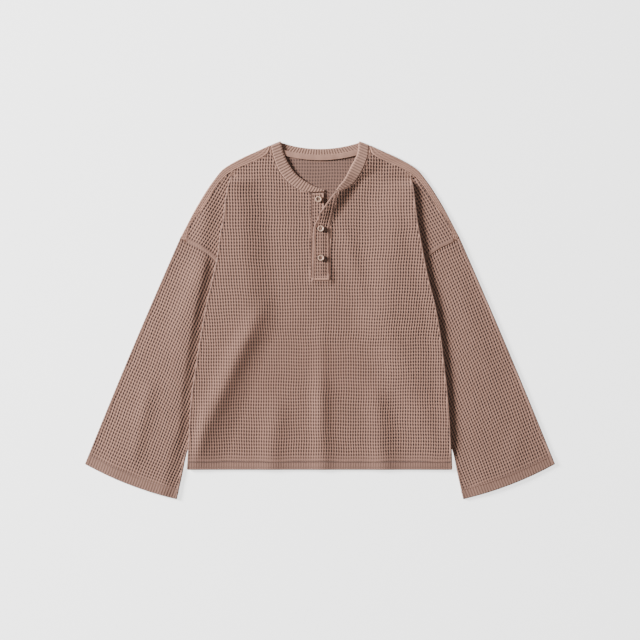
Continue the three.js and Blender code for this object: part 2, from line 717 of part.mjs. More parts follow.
function neckTape() {
  const grid = steps(20).map((t) => {
    const x = TAPE.halfLength * (2 * t - 1);
    const rise = TAPE.rise * (x / TAPE.riseAt) ** 2;
    const z = BAND_WALL + RIB_HEIGHT + SEAM_GAP + TAPE_WALL / 2;
    return [new THREE.Vector3(x, TAPE.upperY + rise, z), new THREE.Vector3(x, TAPE.lowerY + rise, z)];
  });
  return cloth('neck_tape', RIB_COLOUR, [grid], TAPE_WALL);
}

// Top placket: its upper corner is rolled under along the crest
function placketTop() {
  const rows = rowsDown(PLACKET.topY, [
    { to: PLACKET_ROLL.startY, step: 6 },
    { to: 160, step: 10 },
    { to: PLACKET.boxY, step: 26 },
    { to: PLACKET.bottomY, step: 4.2 },
  ]);
  const grid = rows.map((y) => {
    const right = at(NOTCH_RIGHT, 'x', y) - SEAM_GAP;
    const turn = Math.PI * clamp01((y - PLACKET_ROLL.startY) / PLACKET_ROLL.turnLength);
    const left = at(CREST.right, 'out', y) + (PLACKET_WALL / 2 + FOLD_RADIUS) * (1 - Math.cos(turn)) / 2;
    const boxed = smooth((PLACKET.boxY - y) / (PLACKET.boxY - NOTCH_BOTTOM_Y));
    const height = (x) => {
      const free = neckLift('right', x, y);
      return FRONT_LAYER + free + (PLACKET_LIFT - free) * boxed;
    };
    const row = steps(6).map((t) => {
      const x = right + (left - right) * t;
      return new THREE.Vector3(x, y, height(x));
    });
    for (const t of steps(TURN_STEPS).slice(1)) {
      const angle = turn * t;
      const x = left - FOLD_RADIUS * Math.sin(angle);
      row.push(new THREE.Vector3(x, y, height(left) - FOLD_RADIUS * (1 - Math.cos(angle))));
    }
    const past = clamp01((y - PLACKET_ROLL.startY - PLACKET_ROLL.turnLength) / PLACKET_ROLL.depthLength);
    const depth = Math.min(PLACKET_ROLL.depth, Math.max(0, right - left - PLACKET_ROLL.keep)) * past;
    const end = row[row.length - 1];
    row.push(new THREE.Vector3(end.x + depth, y, end.z - (height(left) - height(left + depth))));
    return row;
  });
  return cloth('placket_top', CLOTH_COLOUR, [grid], PLACKET_WALL);
}

function placketUnder() {
  const { left, right, bottomY, topY } = UNDER_PLACKET;
  const grid = steps(6).map((t) => {
    const y = topY + (bottomY - topY) * t;
    return steps(2).map((s) => new THREE.Vector3(left + (right - left) * s, y, FRONT_LAYER));
  });
  return cloth('placket_under', CLOTH_COLOUR, [grid], WALL);
}

function asManifold(geometry) {
  const position = geometry.getAttribute('position');
  const places = new Map();
  const vertices = [];
  const ids = [];
  for (let i = 0; i < position.count; i++) {
    const p = [position.getX(i), position.getY(i), position.getZ(i)].map((v) => Math.round(v * 1e5) / 1e5);
    const key = p.join();
    if (!places.has(key)) {
      places.set(key, vertices.length / 3);
      vertices.push(...p);
    }
    ids.push(places.get(key));
  }
  const order = geometry.index ? Array.from(geometry.index.array) : ids.map((_, i) => i);
  const triangles = [];
  for (let i = 0; i < order.length; i += 3) {
    const [a, b, c] = [ids[order[i]], ids[order[i + 1]], ids[order[i + 2]]];
    if (a !== b && b !== c && a !== c) triangles.push(a, b, c);
  }
  const data = { numProp: 3, vertProperties: new Float32Array(vertices), triVerts: new Uint32Array(triangles) };
  return new wasm.Manifold(new wasm.Mesh(data));
}

// Button: a dished disc with four sewing holes
function button({ name, x, y, on }) {
  const { radius, thickness, rim, dish, holeRadius, holeOffset } = BUTTON;
  const profile = [
    [0, 0], [radius - 0.9, 0], [radius - 0.1, 0.8], [radius, thickness - 0.9], [radius - 0.5, thickness],
    [radius - rim, thickness], [radius - rim - 1, thickness - dish], [0, thickness - dish],
  ].map(([r, h]) => new THREE.Vector2(r, h));
  const disc = new THREE.LatheGeometry(profile, BUTTON_SIDES).rotateX(Math.PI / 2);
  let shape = asManifold(disc);
  for (const [dx, dy] of [[1, 1], [-1, 1], [-1, -1], [1, -1]]) {
    const hole = new THREE.CylinderGeometry(holeRadius, holeRadius, 3 * thickness, HOLE_SIDES).rotateX(Math.PI / 2);
    hole.translate(dx * holeOffset, dy * holeOffset, 0);
    shape = shape.subtract(asManifold(hole));
  }
  const result = shape.getMesh();
  const geometry = new THREE.BufferGeometry();
  geometry.setAttribute('position', new THREE.BufferAttribute(new Float32Array(result.vertProperties), 3));
  geometry.setIndex(Array.from(result.triVerts));
  const made = mesh(name, BUTTON_COLOUR, geometry);
  const lies = on === 'placket_top' ? neckLift('right', x, y + radius) + PLACKET_WALL / 2 : WALL / 2;
  made.position.set(x, y, FRONT_LAYER + lies + SEAM_GAP);
  return made;
}

const shirt = new THREE.Group();
shirt.add(front(), back(), sleeve('left'), sleeve('right'), neckband(), neckTape());
shirt.add(placketTop(), placketUnder(), ...BUTTON_PLACES.map(button));
shirt.position.y = -(NECK_CORNER_Y + CUFF_LOW_Y) / 2;

export default shirt;
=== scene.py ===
# %% [markdown]
# # A waffle-knit henley shirt, laid flat
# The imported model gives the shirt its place, its size and its folds. This script dresses it: every
# panel becomes a real knitted surface with sunken waffle cells, the neckband gets its ribs, and the
# hems, the placket and the tape get their sewing. Tables are in millimetres, in the pattern's own
# frame: x to a viewer's right, y towards the neck, z up off the table.

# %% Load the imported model
import math
from functools import partial
import bpy
import bmesh
import numpy as np
from mathutils import Matrix, Vector


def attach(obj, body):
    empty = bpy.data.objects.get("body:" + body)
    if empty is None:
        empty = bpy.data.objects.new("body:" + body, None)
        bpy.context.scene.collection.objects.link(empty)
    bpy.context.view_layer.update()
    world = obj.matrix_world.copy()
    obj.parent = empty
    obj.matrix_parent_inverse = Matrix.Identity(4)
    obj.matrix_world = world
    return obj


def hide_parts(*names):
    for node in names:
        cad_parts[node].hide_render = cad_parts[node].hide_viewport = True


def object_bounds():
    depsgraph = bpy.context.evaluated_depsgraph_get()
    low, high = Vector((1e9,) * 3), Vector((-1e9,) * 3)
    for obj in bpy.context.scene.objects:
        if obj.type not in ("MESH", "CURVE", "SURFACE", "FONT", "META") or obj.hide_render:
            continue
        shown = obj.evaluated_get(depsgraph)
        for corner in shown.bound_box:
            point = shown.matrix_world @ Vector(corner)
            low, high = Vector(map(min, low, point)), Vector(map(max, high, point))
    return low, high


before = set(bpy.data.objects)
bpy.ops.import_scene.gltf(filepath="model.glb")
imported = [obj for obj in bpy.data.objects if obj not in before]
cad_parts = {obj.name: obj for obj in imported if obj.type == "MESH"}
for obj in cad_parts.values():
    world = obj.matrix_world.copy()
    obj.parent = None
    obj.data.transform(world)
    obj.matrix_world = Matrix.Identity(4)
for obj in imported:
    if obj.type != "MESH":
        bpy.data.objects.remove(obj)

cad_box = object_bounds()
print("CAD box in metres:", [tuple(round(v, 4) for v in corner) for corner in cad_box])

# %% [markdown]
# ## Small tools
# Garment outlines are smooth, so each one is kept as a short table of real sizes and read through a
# monotone curve. A spline that overshoots would put bumps in a seam, and a polyline would show its
# corners, so the slopes are the harmonic mean of the slopes on each side.

# %% Reading tables
MM = 0.001
SIGN = {"left": -1.0, "right": 1.0}
NECK_CORNER_Y = 321.4
Y_SHIFT = cad_box[1][1] / MM - NECK_CORNER_Y


def smooth(value):
    t = np.clip(value, 0.0, 1.0)
    return t * t * (3 - 2 * t)


def hermite(t, start, start_slope, end, end_slope):
    """The cubic from start to end that has the given slopes there, for t from 0 to 1."""
    return (
        (2 * t**3 - 3 * t**2 + 1) * start + (t**3 - 2 * t**2 + t) * start_slope
        + (3 * t**2 - 2 * t**3) * end + (t**3 - t**2) * end_slope
    )


def curve(rows, column=1):
    """A function that reads one column of a table smoothly. The first column is the height y."""
    table = np.array(sorted(rows), dtype=float)
    key, value = table[:, 0], table[:, column]
    slope = np.diff(value) / np.diff(key)
    before, after = slope[:-1], slope[1:]
    same = before * after > 0
    total = np.where(same, before + after, 1.0)
    tangent = np.r_[slope[0], np.where(same, 2 * before * after / total, 0.0), slope[-1]]

    def read(y):
        y = np.clip(np.asarray(y, dtype=float), key[0], key[-1])
        i = np.clip(np.searchsorted(key, y, side="right") - 1, 0, len(key) - 2)
        h = key[i + 1] - key[i]
        return hermite((y - key[i]) / h, value[i], h * tangent[i], value[i + 1], h * tangent[i + 1])

    return read


print("Pattern frame lies", round(Y_SHIFT, 2), "mm below the model's")

# %% [markdown]
# ## The pattern
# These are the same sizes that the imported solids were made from: where the sides fold, where the
# shoulder and armhole seams run, and how the cloth lies in layers. The finer surface follows them, so
# that each knitted panel sits on its solid's form.

# %% Layers and outlines
WALL, LAYER, SEAM_GAP = 1.6, 2.2, 0.35
FOLD_RADIUS = LAYER / 2
SKIN_RADIUS = FOLD_RADIUS + WALL / 2
FLOOR_LAYER = WALL / 2
FRONT_LAYER = FLOOR_LAYER + LAYER
UNDER_LAYER = FRONT_LAYER + LAYER
NOTCH_TOP_Y, NOTCH_BOTTOM_Y = 229.6, 76.0
SHOULDER_END_Y, WING_CORNER_Y, UNDERARM_Y, HEM_Y = 147.2, 139.8, 3.2, -269.4
PLEAT_TOP_Y = {"left": 262.0, "right": 255.0}
PLEAT_TURN, PLEAT_GROWTH = 18.0, 30.0
PLEAT_RAMP = {"left": 60.0, "right": 75.0}
PLEAT_INNER_TOP, UNDERARM_OUT = (262.0, 160.0), 133.2
STEP_LENGTH, STEP_ANGLE = 48.0, 40.0

# y, out on the left, out on the right
SIDE_FOLD = [
    (262, 160, 164), (230, 168, 170), (205, 172, 173), (181, 174, 176), (160, 179, 179.5),
    (117, 184.5, 187.5), (75, 193.5, 196), (25, 205, 208.5), (-33, 215.5, 218.5),
    (-107, 227, 227.5), (-137, 231.5, 230.5), (-238, 237.5, 237), (HEM_Y, 239.5, 238),
]
# y, out
SIDE_SEAM = [
    (UNDERARM_Y, UNDERARM_OUT), (-20, 133.4), (-45, 138.5), (-73, 147.5), (-144, 175.5),
    (-216, 204), (HEM_Y, 226),
]
UNDER_HEIGHT = [(UNDERARM_Y, UNDER_LAYER), (-200, UNDER_LAYER), (-240, 4.4), (HEM_Y, 2.2)]
SHOULDER_FOLD = [
    (314, 90), (305.6, 108), (287.6, 147.6), (269.6, 176.4), (251.6, 190.8), (233.6, 203.4),
    (197.6, 225), (SHOULDER_END_Y, 251.5),
]
SHOULDER_SEAM = [
    (314, 89.4), (302, 91.5), (267.8, 157.1), (255.2, 173.7), (208.4, 207), (159.8, 237.2),
    (WING_CORNER_Y, 240.5),
]
ARMHOLE = [
    (SHOULDER_END_Y, 251.5), (WING_CORNER_Y, 240.5), (128.3, 217.1), (116.9, 200.5), (104.5, 188.3),
    (68, 165.6), (35.6, 147.6), (UNDERARM_Y, UNDERARM_OUT),
]
SLEEVE_INNER = [(UNDERARM_Y, UNDERARM_OUT), (-118, 187), (-237, 238.5), (-279, 247.5), (-322.5, 257.2)]
CUFF_OUTER, CUFF_INNER = (422.8, -259.1), (257.2, -322.5)

fold_out = {"left": curve(SIDE_FOLD, 1), "right": curve(SIDE_FOLD, 2)}
side_seam_out, under_height = curve(SIDE_SEAM), curve(UNDER_HEIGHT)
shoulder_fold_out, shoulder_seam_out = curve(SHOULDER_FOLD), curve(SHOULDER_SEAM)
armhole_out, sleeve_inner_out = curve(ARMHOLE), curve(SLEEVE_INNER)
print("Body is", float(fold_out["left"](HEM_Y) + fold_out["right"](HEM_Y)), "mm wide at the hem")

# %% Neckline, placket and the lift of the cloth round them
# matching points on the free edge and the seam: x, y, x, y
BAND_LEFT = [
    (-65, 299.3, -83.5, 292.4), (-54, 277.3, -73.3, 267.2), (-41.4, 260.6, -57.1, 247.6),
    (-24.7, 248, -34.2, 233.2), (-8.1, 239, -14.4, 229.6), (7.2, 233.6, 7.2, 230.6),
]
BAND_RIGHT = [
    (67.1, 299.3, 85.5, 291.2), (54.4, 273.5, 73.8, 263.8), (43.2, 251.6, 59.9, 244.4),
    (34.9, 241.3, 44.1, 234.8), (28.8, 232.8, 32.4, 230.4),
]
NECK_CORNER_OUT, NECK_SEAM_OUT, NECK_SEAM_Y = 70.6, 89.0, 314.0
BACK_FREE_Y, BACK_SEAM_Y = 307.4, 288.5
BAND_WALL, RIB_HEIGHT, RIB_PITCH = 2.0, 0.5, 5.0
BAND_LAYER = BAND_WALL / 2
PLACKET_LIFT, PLACKET_WALL = 2.3, 1.7
# y, out, lift, flat top, slope
CREST = {
    "left": [
        (321.4, 70.6, 2.3, 22, 60), (299.3, 65, 2.2, 22, 60), (277.3, 54, 1.3, 15, 60),
        (248, 24.7, 0.4, 10, 60), (232, -7.2, 0, 10, 60),
    ],
    "right": [
        (321.4, 70.6, 2.3, 22, 60), (299.3, 67.1, 2.4, 20, 60), (273.5, 54.4, 3.4, 8, 55),
        (251.6, 43.2, 5.8, 2, 36), (231.8, 28.8, 7.6, 2, 34), (215.6, 16.2, 7.6, 3, 36),
        (192.2, 0.5, 6.0, 3, 36), (180.6, -3.8, 3.9, 6, 28), (170.6, -9.1, 2.7, 11, 26),
        (161.9, -11.4, PLACKET_LIFT, 13, 26), (71.6, -12.9, PLACKET_LIFT, 14, 26), (56, -12.9, 0, 20, 9),
    ],
}
NOTCH_LEFT_X = -15.2
NOTCH_RIGHT = [(NOTCH_TOP_Y, 32.6), (215, 29), (190, 23.6), (160, 17.9), (NOTCH_BOTTOM_Y, 17.9)]
notch_right_x = curve(NOTCH_RIGHT)
crest = {
    side: {name: curve(rows, i + 1) for i, name in enumerate(("out", "lift", "flat", "slope"))}
    for side, rows in CREST.items()
}


def neck_lift(side, out, y):
    c = crest[side]
    past = out - c["out"](y) - c["flat"](y)
    return c["lift"](y) * (1 - smooth(past / c["slope"](y)))


def through(points, count):
    """Points on a centripetal Catmull-Rom curve through the given ones, as the solids have them."""
    p = np.array(points, dtype=float)
    p = np.vstack([2 * p[0] - p[1], p, 2 * p[-1] - p[-2]])
    made = []
    for t in np.linspace(0, len(points) - 1, count):
        i = min(int(t), len(points) - 2)
        a, b, c, d = p[i:i + 4]
        ta, tb, tc = (max(np.linalg.norm(step), 1e-4) ** 0.5 for step in (b - a, c - b, d - c))
        m0 = ((b - a) / ta - (c - a) / (ta + tb) + (c - b) / tb) * tb
        m1 = ((c - b) / tb - (d - b) / (tb + tc) + (d - c) / tc) * tb
        made.append(hermite(t - i, b, m0, c, m1))
    return np.array(made)


def band_edges(side, count):
    """The neckband's free edge and seam on one half of the front, from the corner to its end."""
    sign = SIGN[side]
    along = np.array([NECK_SEAM_OUT - NECK_CORNER_OUT, NECK_SEAM_Y - NECK_CORNER_Y])
    along /= np.linalg.norm(along)
    past = np.array([-along[1], along[0]])
    radius = (FRONT_LAYER + CREST[side][0][2] - BAND_LAYER) / 2
    inset = past * (radius + BAND_WALL / 2)
    corners = [
        (sign * (out - inset[0]), y - inset[1])
        for out, y in ((NECK_CORNER_OUT, NECK_CORNER_Y), (NECK_SEAM_OUT, NECK_SEAM_Y))
    ]
    table = BAND_LEFT if side == "left" else BAND_RIGHT
    free = through([corners[0], *[row[:2] for row in table]], count)
    seam = through([corners[1], *[row[2:] for row in table]], count)
    return free, seam, radius, np.array([sign * past[0], past[1]])


seam_line = {side: band_edges(side, 400)[1] for side in SIGN}


def neck_seam_out(side, y):
    line = seam_line[side]
    lowest = int(np.argmin(line[:, 1]))
    falling = line[:lowest + 1][::-1]
    return np.interp(y, falling[:, 1], falling[:, 0] * SIGN[side], left=-1e3)


def front_inner(side, y):
    y = np.asarray(y, dtype=float)
    notch = np.full(y.shape, -NOTCH_LEFT_X) if side == "left" else notch_right_x(y) + SEAM_GAP
    neck = neck_seam_out(side, y + 1.2 * SEAM_GAP) + 1.2 * SEAM_GAP
    return np.where(y < NOTCH_TOP_Y, notch, np.maximum(notch, neck))


def front_outer(y):
    y = np.asarray(y, dtype=float)
    return np.where(y > WING_CORNER_Y, shoulder_seam_out(y), armhole_out(y)) - SEAM_GAP


print("Neck seam reaches", round(float(seam_line["left"][:, 1].min()), 1), "mm up from the middle")

# %% [markdown]
# ## How the front lies
# Real cloth that is laid out never lies dead flat. The front turns under at each side in a long
# pleat that starts at the shoulder, it rides up over the edge of the sleeve below it, and soft ridges
# run up from the hem. Simulation would settle these anywhere, so each is placed as a smooth ramp or
# ridge at the place and width where it shows.

# %% Height of the front
# from x, y to x, y, then height and width
FRONT_FOLDS = [
    (4, HEM_Y, 0, -60, 2.2, 17), (-90, HEM_Y, -74, -120, 2.0, 20), (113, HEM_Y, 100, -90, 2.4, 20),
    (-220, -215, -84, 70, 2.8, 19), (70, 60, 40, 190, 1.0, 14), (2, -170, 2, 30, 1.0, 13),
]
SLEEVE_FOLDS = {
    "left": [(-292, 22, -352, -125, 1.6, 12), (-330, -230, -300, -90, 1.2, 14)],
    "right": [(262, 60, 330, -170, 0.8, 20), (350, -250, 372, -140, 0.6, 16)],
}
# how far the cloth stands up again at each side fold, how wide that is, and its growth from the hem
SIDE_LIP, LIP_WIDE, LIP_GROWTH = {"left": 0.0, "right": 1.2}, 26.0, 60.0
# shares of a ridge's length over which it rises before its start and dies out before its end
RIDGE_RISE, RIDGE_END = 0.35, 0.45
# the ridges calm down this near to a side fold and to the opening
CALM_AT_FOLD, CALM_AT_OPENING = 25.0, 12.0
# the cloth bulges round the placket's foot, which has this left, right, lower and upper end
FOOT_LEFT, FOOT_RIGHT, FOOT_LOW, FOOT_HIGH = -11.8, 17.6, 71.4, 84.0
FOOT_LIFT, FOOT_REACH = 1.1, 12.0


def ridges(folds, x, y):
    lift = 0.0
    for x0, y0, x1, y1, height, width in folds:
        along = (y - y0) / (y1 - y0)
        across = (x - x0 - (x1 - x0) * along) / width
        fade = smooth((1 - along) / RIDGE_END) * smooth((along + RIDGE_RISE) / RIDGE_RISE)
        lift = lift + height * np.exp(-across**2) * fade
    return lift


def pleat(side, y):
    """Where the front turns under at the side: its fold, how far it has turned, the height of the
    layer below and where that ends. Below the underarm that layer steps down to the back in two
    arcs of one radius, which turn to the first and then to the second angle."""
    y = np.asarray(y, dtype=float)
    fold = fold_out[side](y) - SKIN_RADIUS
    below = PLEAT_TOP_Y[side] - y
    turn = np.pi * np.clip(below / PLEAT_TURN, 0, 1)
    start = np.where(below > 0, fold, np.minimum(fold, front_outer(y) - 4))
    whole = (PLEAT_INNER_TOP[0] - y) / (PLEAT_INNER_TOP[0] - UNDERARM_Y)
    line = PLEAT_INNER_TOP[1] + (UNDERARM_OUT - 1 - PLEAT_INNER_TOP[1]) * whole
    depth = np.maximum(0, start - line) * np.clip((below - PLEAT_TURN) / PLEAT_GROWTH, 0, 1)
    t = np.clip((UNDERARM_Y - y) / STEP_LENGTH, 0, 1)
    first = np.radians(180 - (180 - STEP_ANGLE) * t)
    second = np.radians(180 - 180 * t)
    drop = LAYER + (under_height(y) - FLOOR_LAYER - LAYER) * t
    radius = drop / (1 - 2 * np.cos(first) + np.cos(second))
    run = radius * (2 * np.sin(first) - np.sin(second))
    low = y <= UNDERARM_Y
    return {
        "fold": np.where(low, fold, start),
        "turn": np.where(low, np.pi, turn),
        "under": np.where(low, under_height(y), FRONT_LAYER + FOLD_RADIUS * (1 - np.cos(turn))),
        "inner": np.where(
            low, side_seam_out(y) + SEAM_GAP + run, start + FOLD_RADIUS * np.sin(turn) - depth),
        "step": (first, second, radius),
    }


def front_height(side, out, y):
    p = pleat(side, y)
    top = p["under"] + FOLD_RADIUS * (1 - np.cos(p["turn"]))
    lift = (top - FRONT_LAYER) * (1 - smooth((p["inner"] - 3 - out) / PLEAT_RAMP[side]))
    soft = ridges(FRONT_FOLDS, SIGN[side] * out, y) * smooth((p["fold"] - out) / CALM_AT_FOLD)
    calm = np.where(y > NOTCH_BOTTOM_Y, smooth((out - front_inner(side, y)) / CALM_AT_OPENING), 1.0)
    lip = SIDE_LIP[side] * smooth((out - p["fold"] + LIP_WIDE) / LIP_WIDE)
    lip = lip * smooth((y - HEM_Y) / LIP_GROWTH) * p["turn"] / np.pi
    return FRONT_LAYER + lift + neck_lift(side, out, y) + soft * calm + lip * (y < PLEAT_TOP_Y[side])


def placket_foot(x, y):
    """The bulge of the cloth round the stiff foot of the placket."""
    across, below = np.maximum(x - FOOT_RIGHT, FOOT_LEFT - x), FOOT_LOW - y
    beside = np.hypot(np.maximum(across, 0), np.maximum(below, 0)) + np.maximum(y - FOOT_HIGH, 0) / 3
    return FOOT_LIFT * (1 - smooth(beside / FOOT_REACH)) * smooth(1 + np.maximum(across, below) / 1.5)


def front_top(x, y):
    """Height of the front's face at any point of it."""
    y = np.asarray(y, dtype=float)
    left, right = front_height("left", -x, y), front_height("right", x, y)
    middle = FRONT_LAYER + ridges(FRONT_FOLDS, x, y)
    in_notch = (x > NOTCH_LEFT_X) & (x < notch_right_x(y)) & (y < NOTCH_BOTTOM_Y + 1)
    return np.where(in_notch, middle, np.where(x < 0, left, right)) + WALL / 2 + placket_foot(x, y)


print("Front's face is", round(float(front_top(0.0, -200.0)), 2), "mm up in the middle of the body")

# %% [markdown]
# ## A knitted surface
# Waffle knit is a grid of raised ribs round sunken square cells. A bump map would look flat in raking
# light, so the cells are real: each is three points wide and three points long, with its points on
# the ribs high and the others low. The grid is laid like cloth: whole cells inside, cut along the
# panel's edge, where each row ends exactly on the outline and neighbouring rows are zipped together.

# %% The lattice of cells
CELL_WIDE, CELL_TALL = 4.86, 5.95
POINTS_A_CELL = 3
SPACING = (CELL_WIDE / POINTS_A_CELL, CELL_TALL / POINTS_A_CELL)
# how deep a cell is, and how much of that the ribs along the rows have and the ribs of pressed cloth
PIT_DEPTH, ROW_RIB, PRESSED_RIB = 1.2, 0.35, 0.8
# painted shade on cloth without cells, and on points round a fold on a rib's row and between the ribs
PLAIN_PAINTED_SHADE, FOLD_PAINTED_SHADE_RIB, FOLD_PAINTED_SHADE_CELL = 0.5, 0.3, 0.75
# covered cloth keeps every twelfth point, and the lattice is straight on a panel's outer rows
COARSE, STRAIGHT_ROWS = 12, 12
# a row's last point moves to the outline if it is nearer than this share of a step
NEAR_OUTLINE = 0.25


def pit_share(k, j, ribbed=0.0):
    """0 on the ribs of the waffle and 1 at the bottom of a cell. Pressed hems show upright ribs only."""
    across = np.where(k % POINTS_A_CELL == 0, 0.0, 1.0)
    down = np.where(j % POINTS_A_CELL == 0, ROW_RIB, 1.0)
    return across * (down + (PRESSED_RIB - down) * ribbed)


def wander(x, y, amount=1.0):
    """Hand-laid cloth is never a perfect grid: a slow sideways drift of the cells, in mm."""
    east = 0.55 * np.sin(y / 21 + 1.3 * np.sin(x / 47)) + 0.35 * np.sin(y / 8.7 + x / 31 + 2)
    north = 0.55 * np.sin(x / 24 + 1.1 * np.sin(y / 53) + 0.7) + 0.3 * np.sin(x / 9.3 - y / 37)
    return x + east * amount, y + north * amount


def level(value):
    """A height or a share that is the same all over."""
    return lambda x, y: np.full(np.shape(x), value)


def knit_rows(region, place, height, k_range, j_range, fade, pit=PIT_DEPTH, hidden=None, strength=None,
              ribbed=None, lines=None):
    """Rows of points. region(x, y) is how far inside the outline a point is, place(s, t) lays the
    lattice on the table, and height(x, y) gives the face. Where hidden(x, y) is above 0 another
    layer covers the cloth, so only a few points are kept there and it is left smooth."""
    rows = []
    k = np.arange(*k_range)
    for j in range(*j_range):
        from_ends = min(j - j_range[0], j_range[1] - 1 - j)
        drift = float(smooth(from_ends / STRAIGHT_ROWS))
        x, y = wander(*place(k * SPACING[0], np.full(len(k), j * SPACING[1])), drift)
        inside = region(x, y)
        run = np.flatnonzero(inside > 0)
        if len(run) < 2:
            continue
        gaps = np.flatnonzero(np.diff(run) > 1)
        starts, stops = np.r_[0, gaps + 1], np.r_[gaps, len(run) - 1]
        longest = int(np.argmax(stops - starts))
        first, last = run[starts[longest]], run[stops[longest]]
        if first == 0 or last == len(k) - 1 or last - first < 1:
            continue
        kept = np.arange(first, last + 1)
        ribs = ribbed(x[kept], y[kept]) if ribbed else 0.0
        shown = smooth(inside[kept] / fade) * (strength(x[kept], y[kept]) if strength else 1.0)
        depth = pit_share(k[kept], j, ribs) * shown
        # painted shade: the tint follows the cells' depth; faded cloth and row ends get the plain shade
        tint = np.maximum(depth, PLAIN_PAINTED_SHADE * (1 - shown ** 3))
        if lines is not None:
            # painted shade: the valleys that lines gives are sunk a little and darkened
            sunk_and_shaded = lines(x[kept], y[kept])
            depth, tint = np.maximum(depth, 0.5 * sunk_and_shaded), np.maximum(tint, sunk_and_shaded)
        if hidden is not None:
            covered = hidden(x[kept], y[kept]) > 0
            depth = np.where(covered, 0.0, depth)
            wanted = ~covered | (k[kept] % COARSE == 0)
            wanted[[0, -1]] = True
            kept, depth, tint = kept[wanted], depth[wanted], tint[wanted]
        line = np.array([k[kept], x[kept], y[kept], depth, tint])
        for at, index, step in ((0, first, -1), (-1, last, 1)):
            part = inside[index] / (inside[index] - inside[index + step])
            end = [v[index] + (v[index + step] - v[index]) * part for v in (k, x, y)] + [0.0, PLAIN_PAINTED_SHADE]
            if part < NEAR_OUTLINE:
                line[:, at] = end
            else:
                line = np.column_stack([end, line] if at == 0 else [line, end])
        u, xs, ys, depth, tint = line
        points = np.column_stack([xs, ys, height(xs, ys) - pit * depth])
        rows.append({"u": u, "p": points, "pit": tint, "j": j})
    return rows


print("A cell is", CELL_WIDE, "by", CELL_TALL, "mm and", PIT_DEPTH, "mm deep")

# %% Rows into pieces
def plain_row(points, pit=0.0, j=0):
    """A row off the lattice, its points numbered as they come."""
    points = np.array(points)
    pits = np.zeros(len(points)) + pit
    return {"u": np.arange(len(points), dtype=float), "p": points, "pit": pits, "j": j}


def moved(row, shift, pit=None):
    """A copy of a row at another place in mm, with one tint all along if one is given."""
    return dict(row, p=row["p"] + shift, pit=row["pit"] if pit is None else np.full(len(row["u"]), pit))


def extend(row, before=(), after=()):
    """Adds points past a row's ends, such as the turn of a fold."""
    before, after = np.array(before).reshape(-1, 3), np.array(after).reshape(-1, 3)
    low, high = -1e4 - np.arange(len(before))[::-1], 1e4 + np.arange(len(after))
    # painted shade on the added points: less on a rib's row, more between the ribs
    shade = FOLD_PAINTED_SHADE_RIB if row["j"] % POINTS_A_CELL == 0 else FOLD_PAINTED_SHADE_CELL
    return {
        "u": np.concatenate([low, row["u"], high]),
        "p": np.vstack([before, row["p"], after]),
        "pit": np.concatenate([np.full(len(before), shade), row["pit"], np.full(len(after), shade)]),
        "j": row["j"],
    }


def zip_rows(rows, flip=False):
    """Vertices, pit shares and triangles between neighbouring rows of any lengths."""
    start = np.cumsum([0] + [len(row["u"]) for row in rows])
    faces = []
    for r in range(len(rows) - 1):
        a, b = rows[r]["u"], rows[r + 1]["u"]
        i = j = 0
        while i < len(a) - 1 or j < len(b) - 1:
            ia, jb = start[r] + i, start[r + 1] + j
            next_a = a[i + 1] if i < len(a) - 1 else math.inf
            next_b = b[j + 1] if j < len(b) - 1 else math.inf
            if next_a == next_b:
                faces += [(ia, ia + 1, jb), (ia + 1, jb + 1, jb)]
                i, j = i + 1, j + 1
            elif next_a < next_b:
                faces.append((ia, ia + 1, jb))
                i += 1
            else:
                faces.append((ia, jb + 1, jb))
                j += 1
    if flip:
        faces = [face[::-1] for face in faces]
    return np.vstack([row["p"] for row in rows]), np.concatenate([row["pit"] for row in rows]), faces


def add_object(name, data):
    made = bpy.data.objects.new(name, data)
    bpy.context.scene.collection.objects.link(made)
    return made


def make_piece(name, sheets, finish):
    """One object from sheets of (points in mm, pit shares, faces). It rides on the shirt's one body."""
    base, faces = 0, []
    for points, _, sheet_faces in sheets:
        faces += [tuple(base + i for i in face) for face in sheet_faces]
        base += len(points)
    places = (np.vstack([sheet[0] for sheet in sheets]) + (0, Y_SHIFT, 0)) * MM
    pits = np.concatenate([sheet[1] for sheet in sheets])
    mesh = bpy.data.meshes.new(name)
    mesh.from_pydata(places.tolist(), [], faces)
    mesh.attributes.new("pit", "FLOAT", "POINT").data.foreach_set("value", pits)
    cleaner = bmesh.new()
    cleaner.from_mesh(mesh)
    bmesh.ops.remove_doubles(cleaner, verts=cleaner.verts, dist=2e-6)
    bmesh.ops.dissolve_degenerate(cleaner, edges=cleaner.edges, dist=1e-7)
    cleaner.to_mesh(mesh)
    cleaner.free()
    mesh.shade_smooth()
    piece = add_object(name, mesh)
    piece.data.materials.append(finish)
    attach(piece, "root")
    print(name, len(mesh.polygons), "faces")
    return piece

# %% [markdown]
# ## Materials
# The shirt is one dyed cotton knit in three textures. All of its colour is one dusty rose brown; what
# changes is how the yarn lies. Cells of the waffle look darker because light and eye reach little of
# their floor, so a stored pit share paints shade into them on top of the true shadow. The same share
# paints shade on fold turns, turned edges, grooves and smooth cloth. A cotton knit has no gloss, only
# the soft sheen of loose fibres on its surface.

# %% Colours and nodes
def linear(hex_colour):
    """An sRGB hex colour as the linear RGBA that shaders use."""
    parts = [int(hex_colour[i:i + 2], 16) / 255 for i in (1, 3, 5)]
    return tuple([c / 12.92 if c <= 0.04045 else ((c + 0.055) / 1.055) ** 2.4 for c in parts] + [1.0])


def add_node(tree, kind, links=None, **settings):
    """Adds a node. Settings name its properties or sockets, links name sockets and what feeds them."""
    node = tree.nodes.new(kind)
    for name, value in settings.items():
        if name in node.inputs:
            node.inputs[name].default_value = value
        else:
            setattr(node, name, value)
    for socket, source in (links or {}).items():
        tree.links.new(source, node.inputs[socket])
    return node


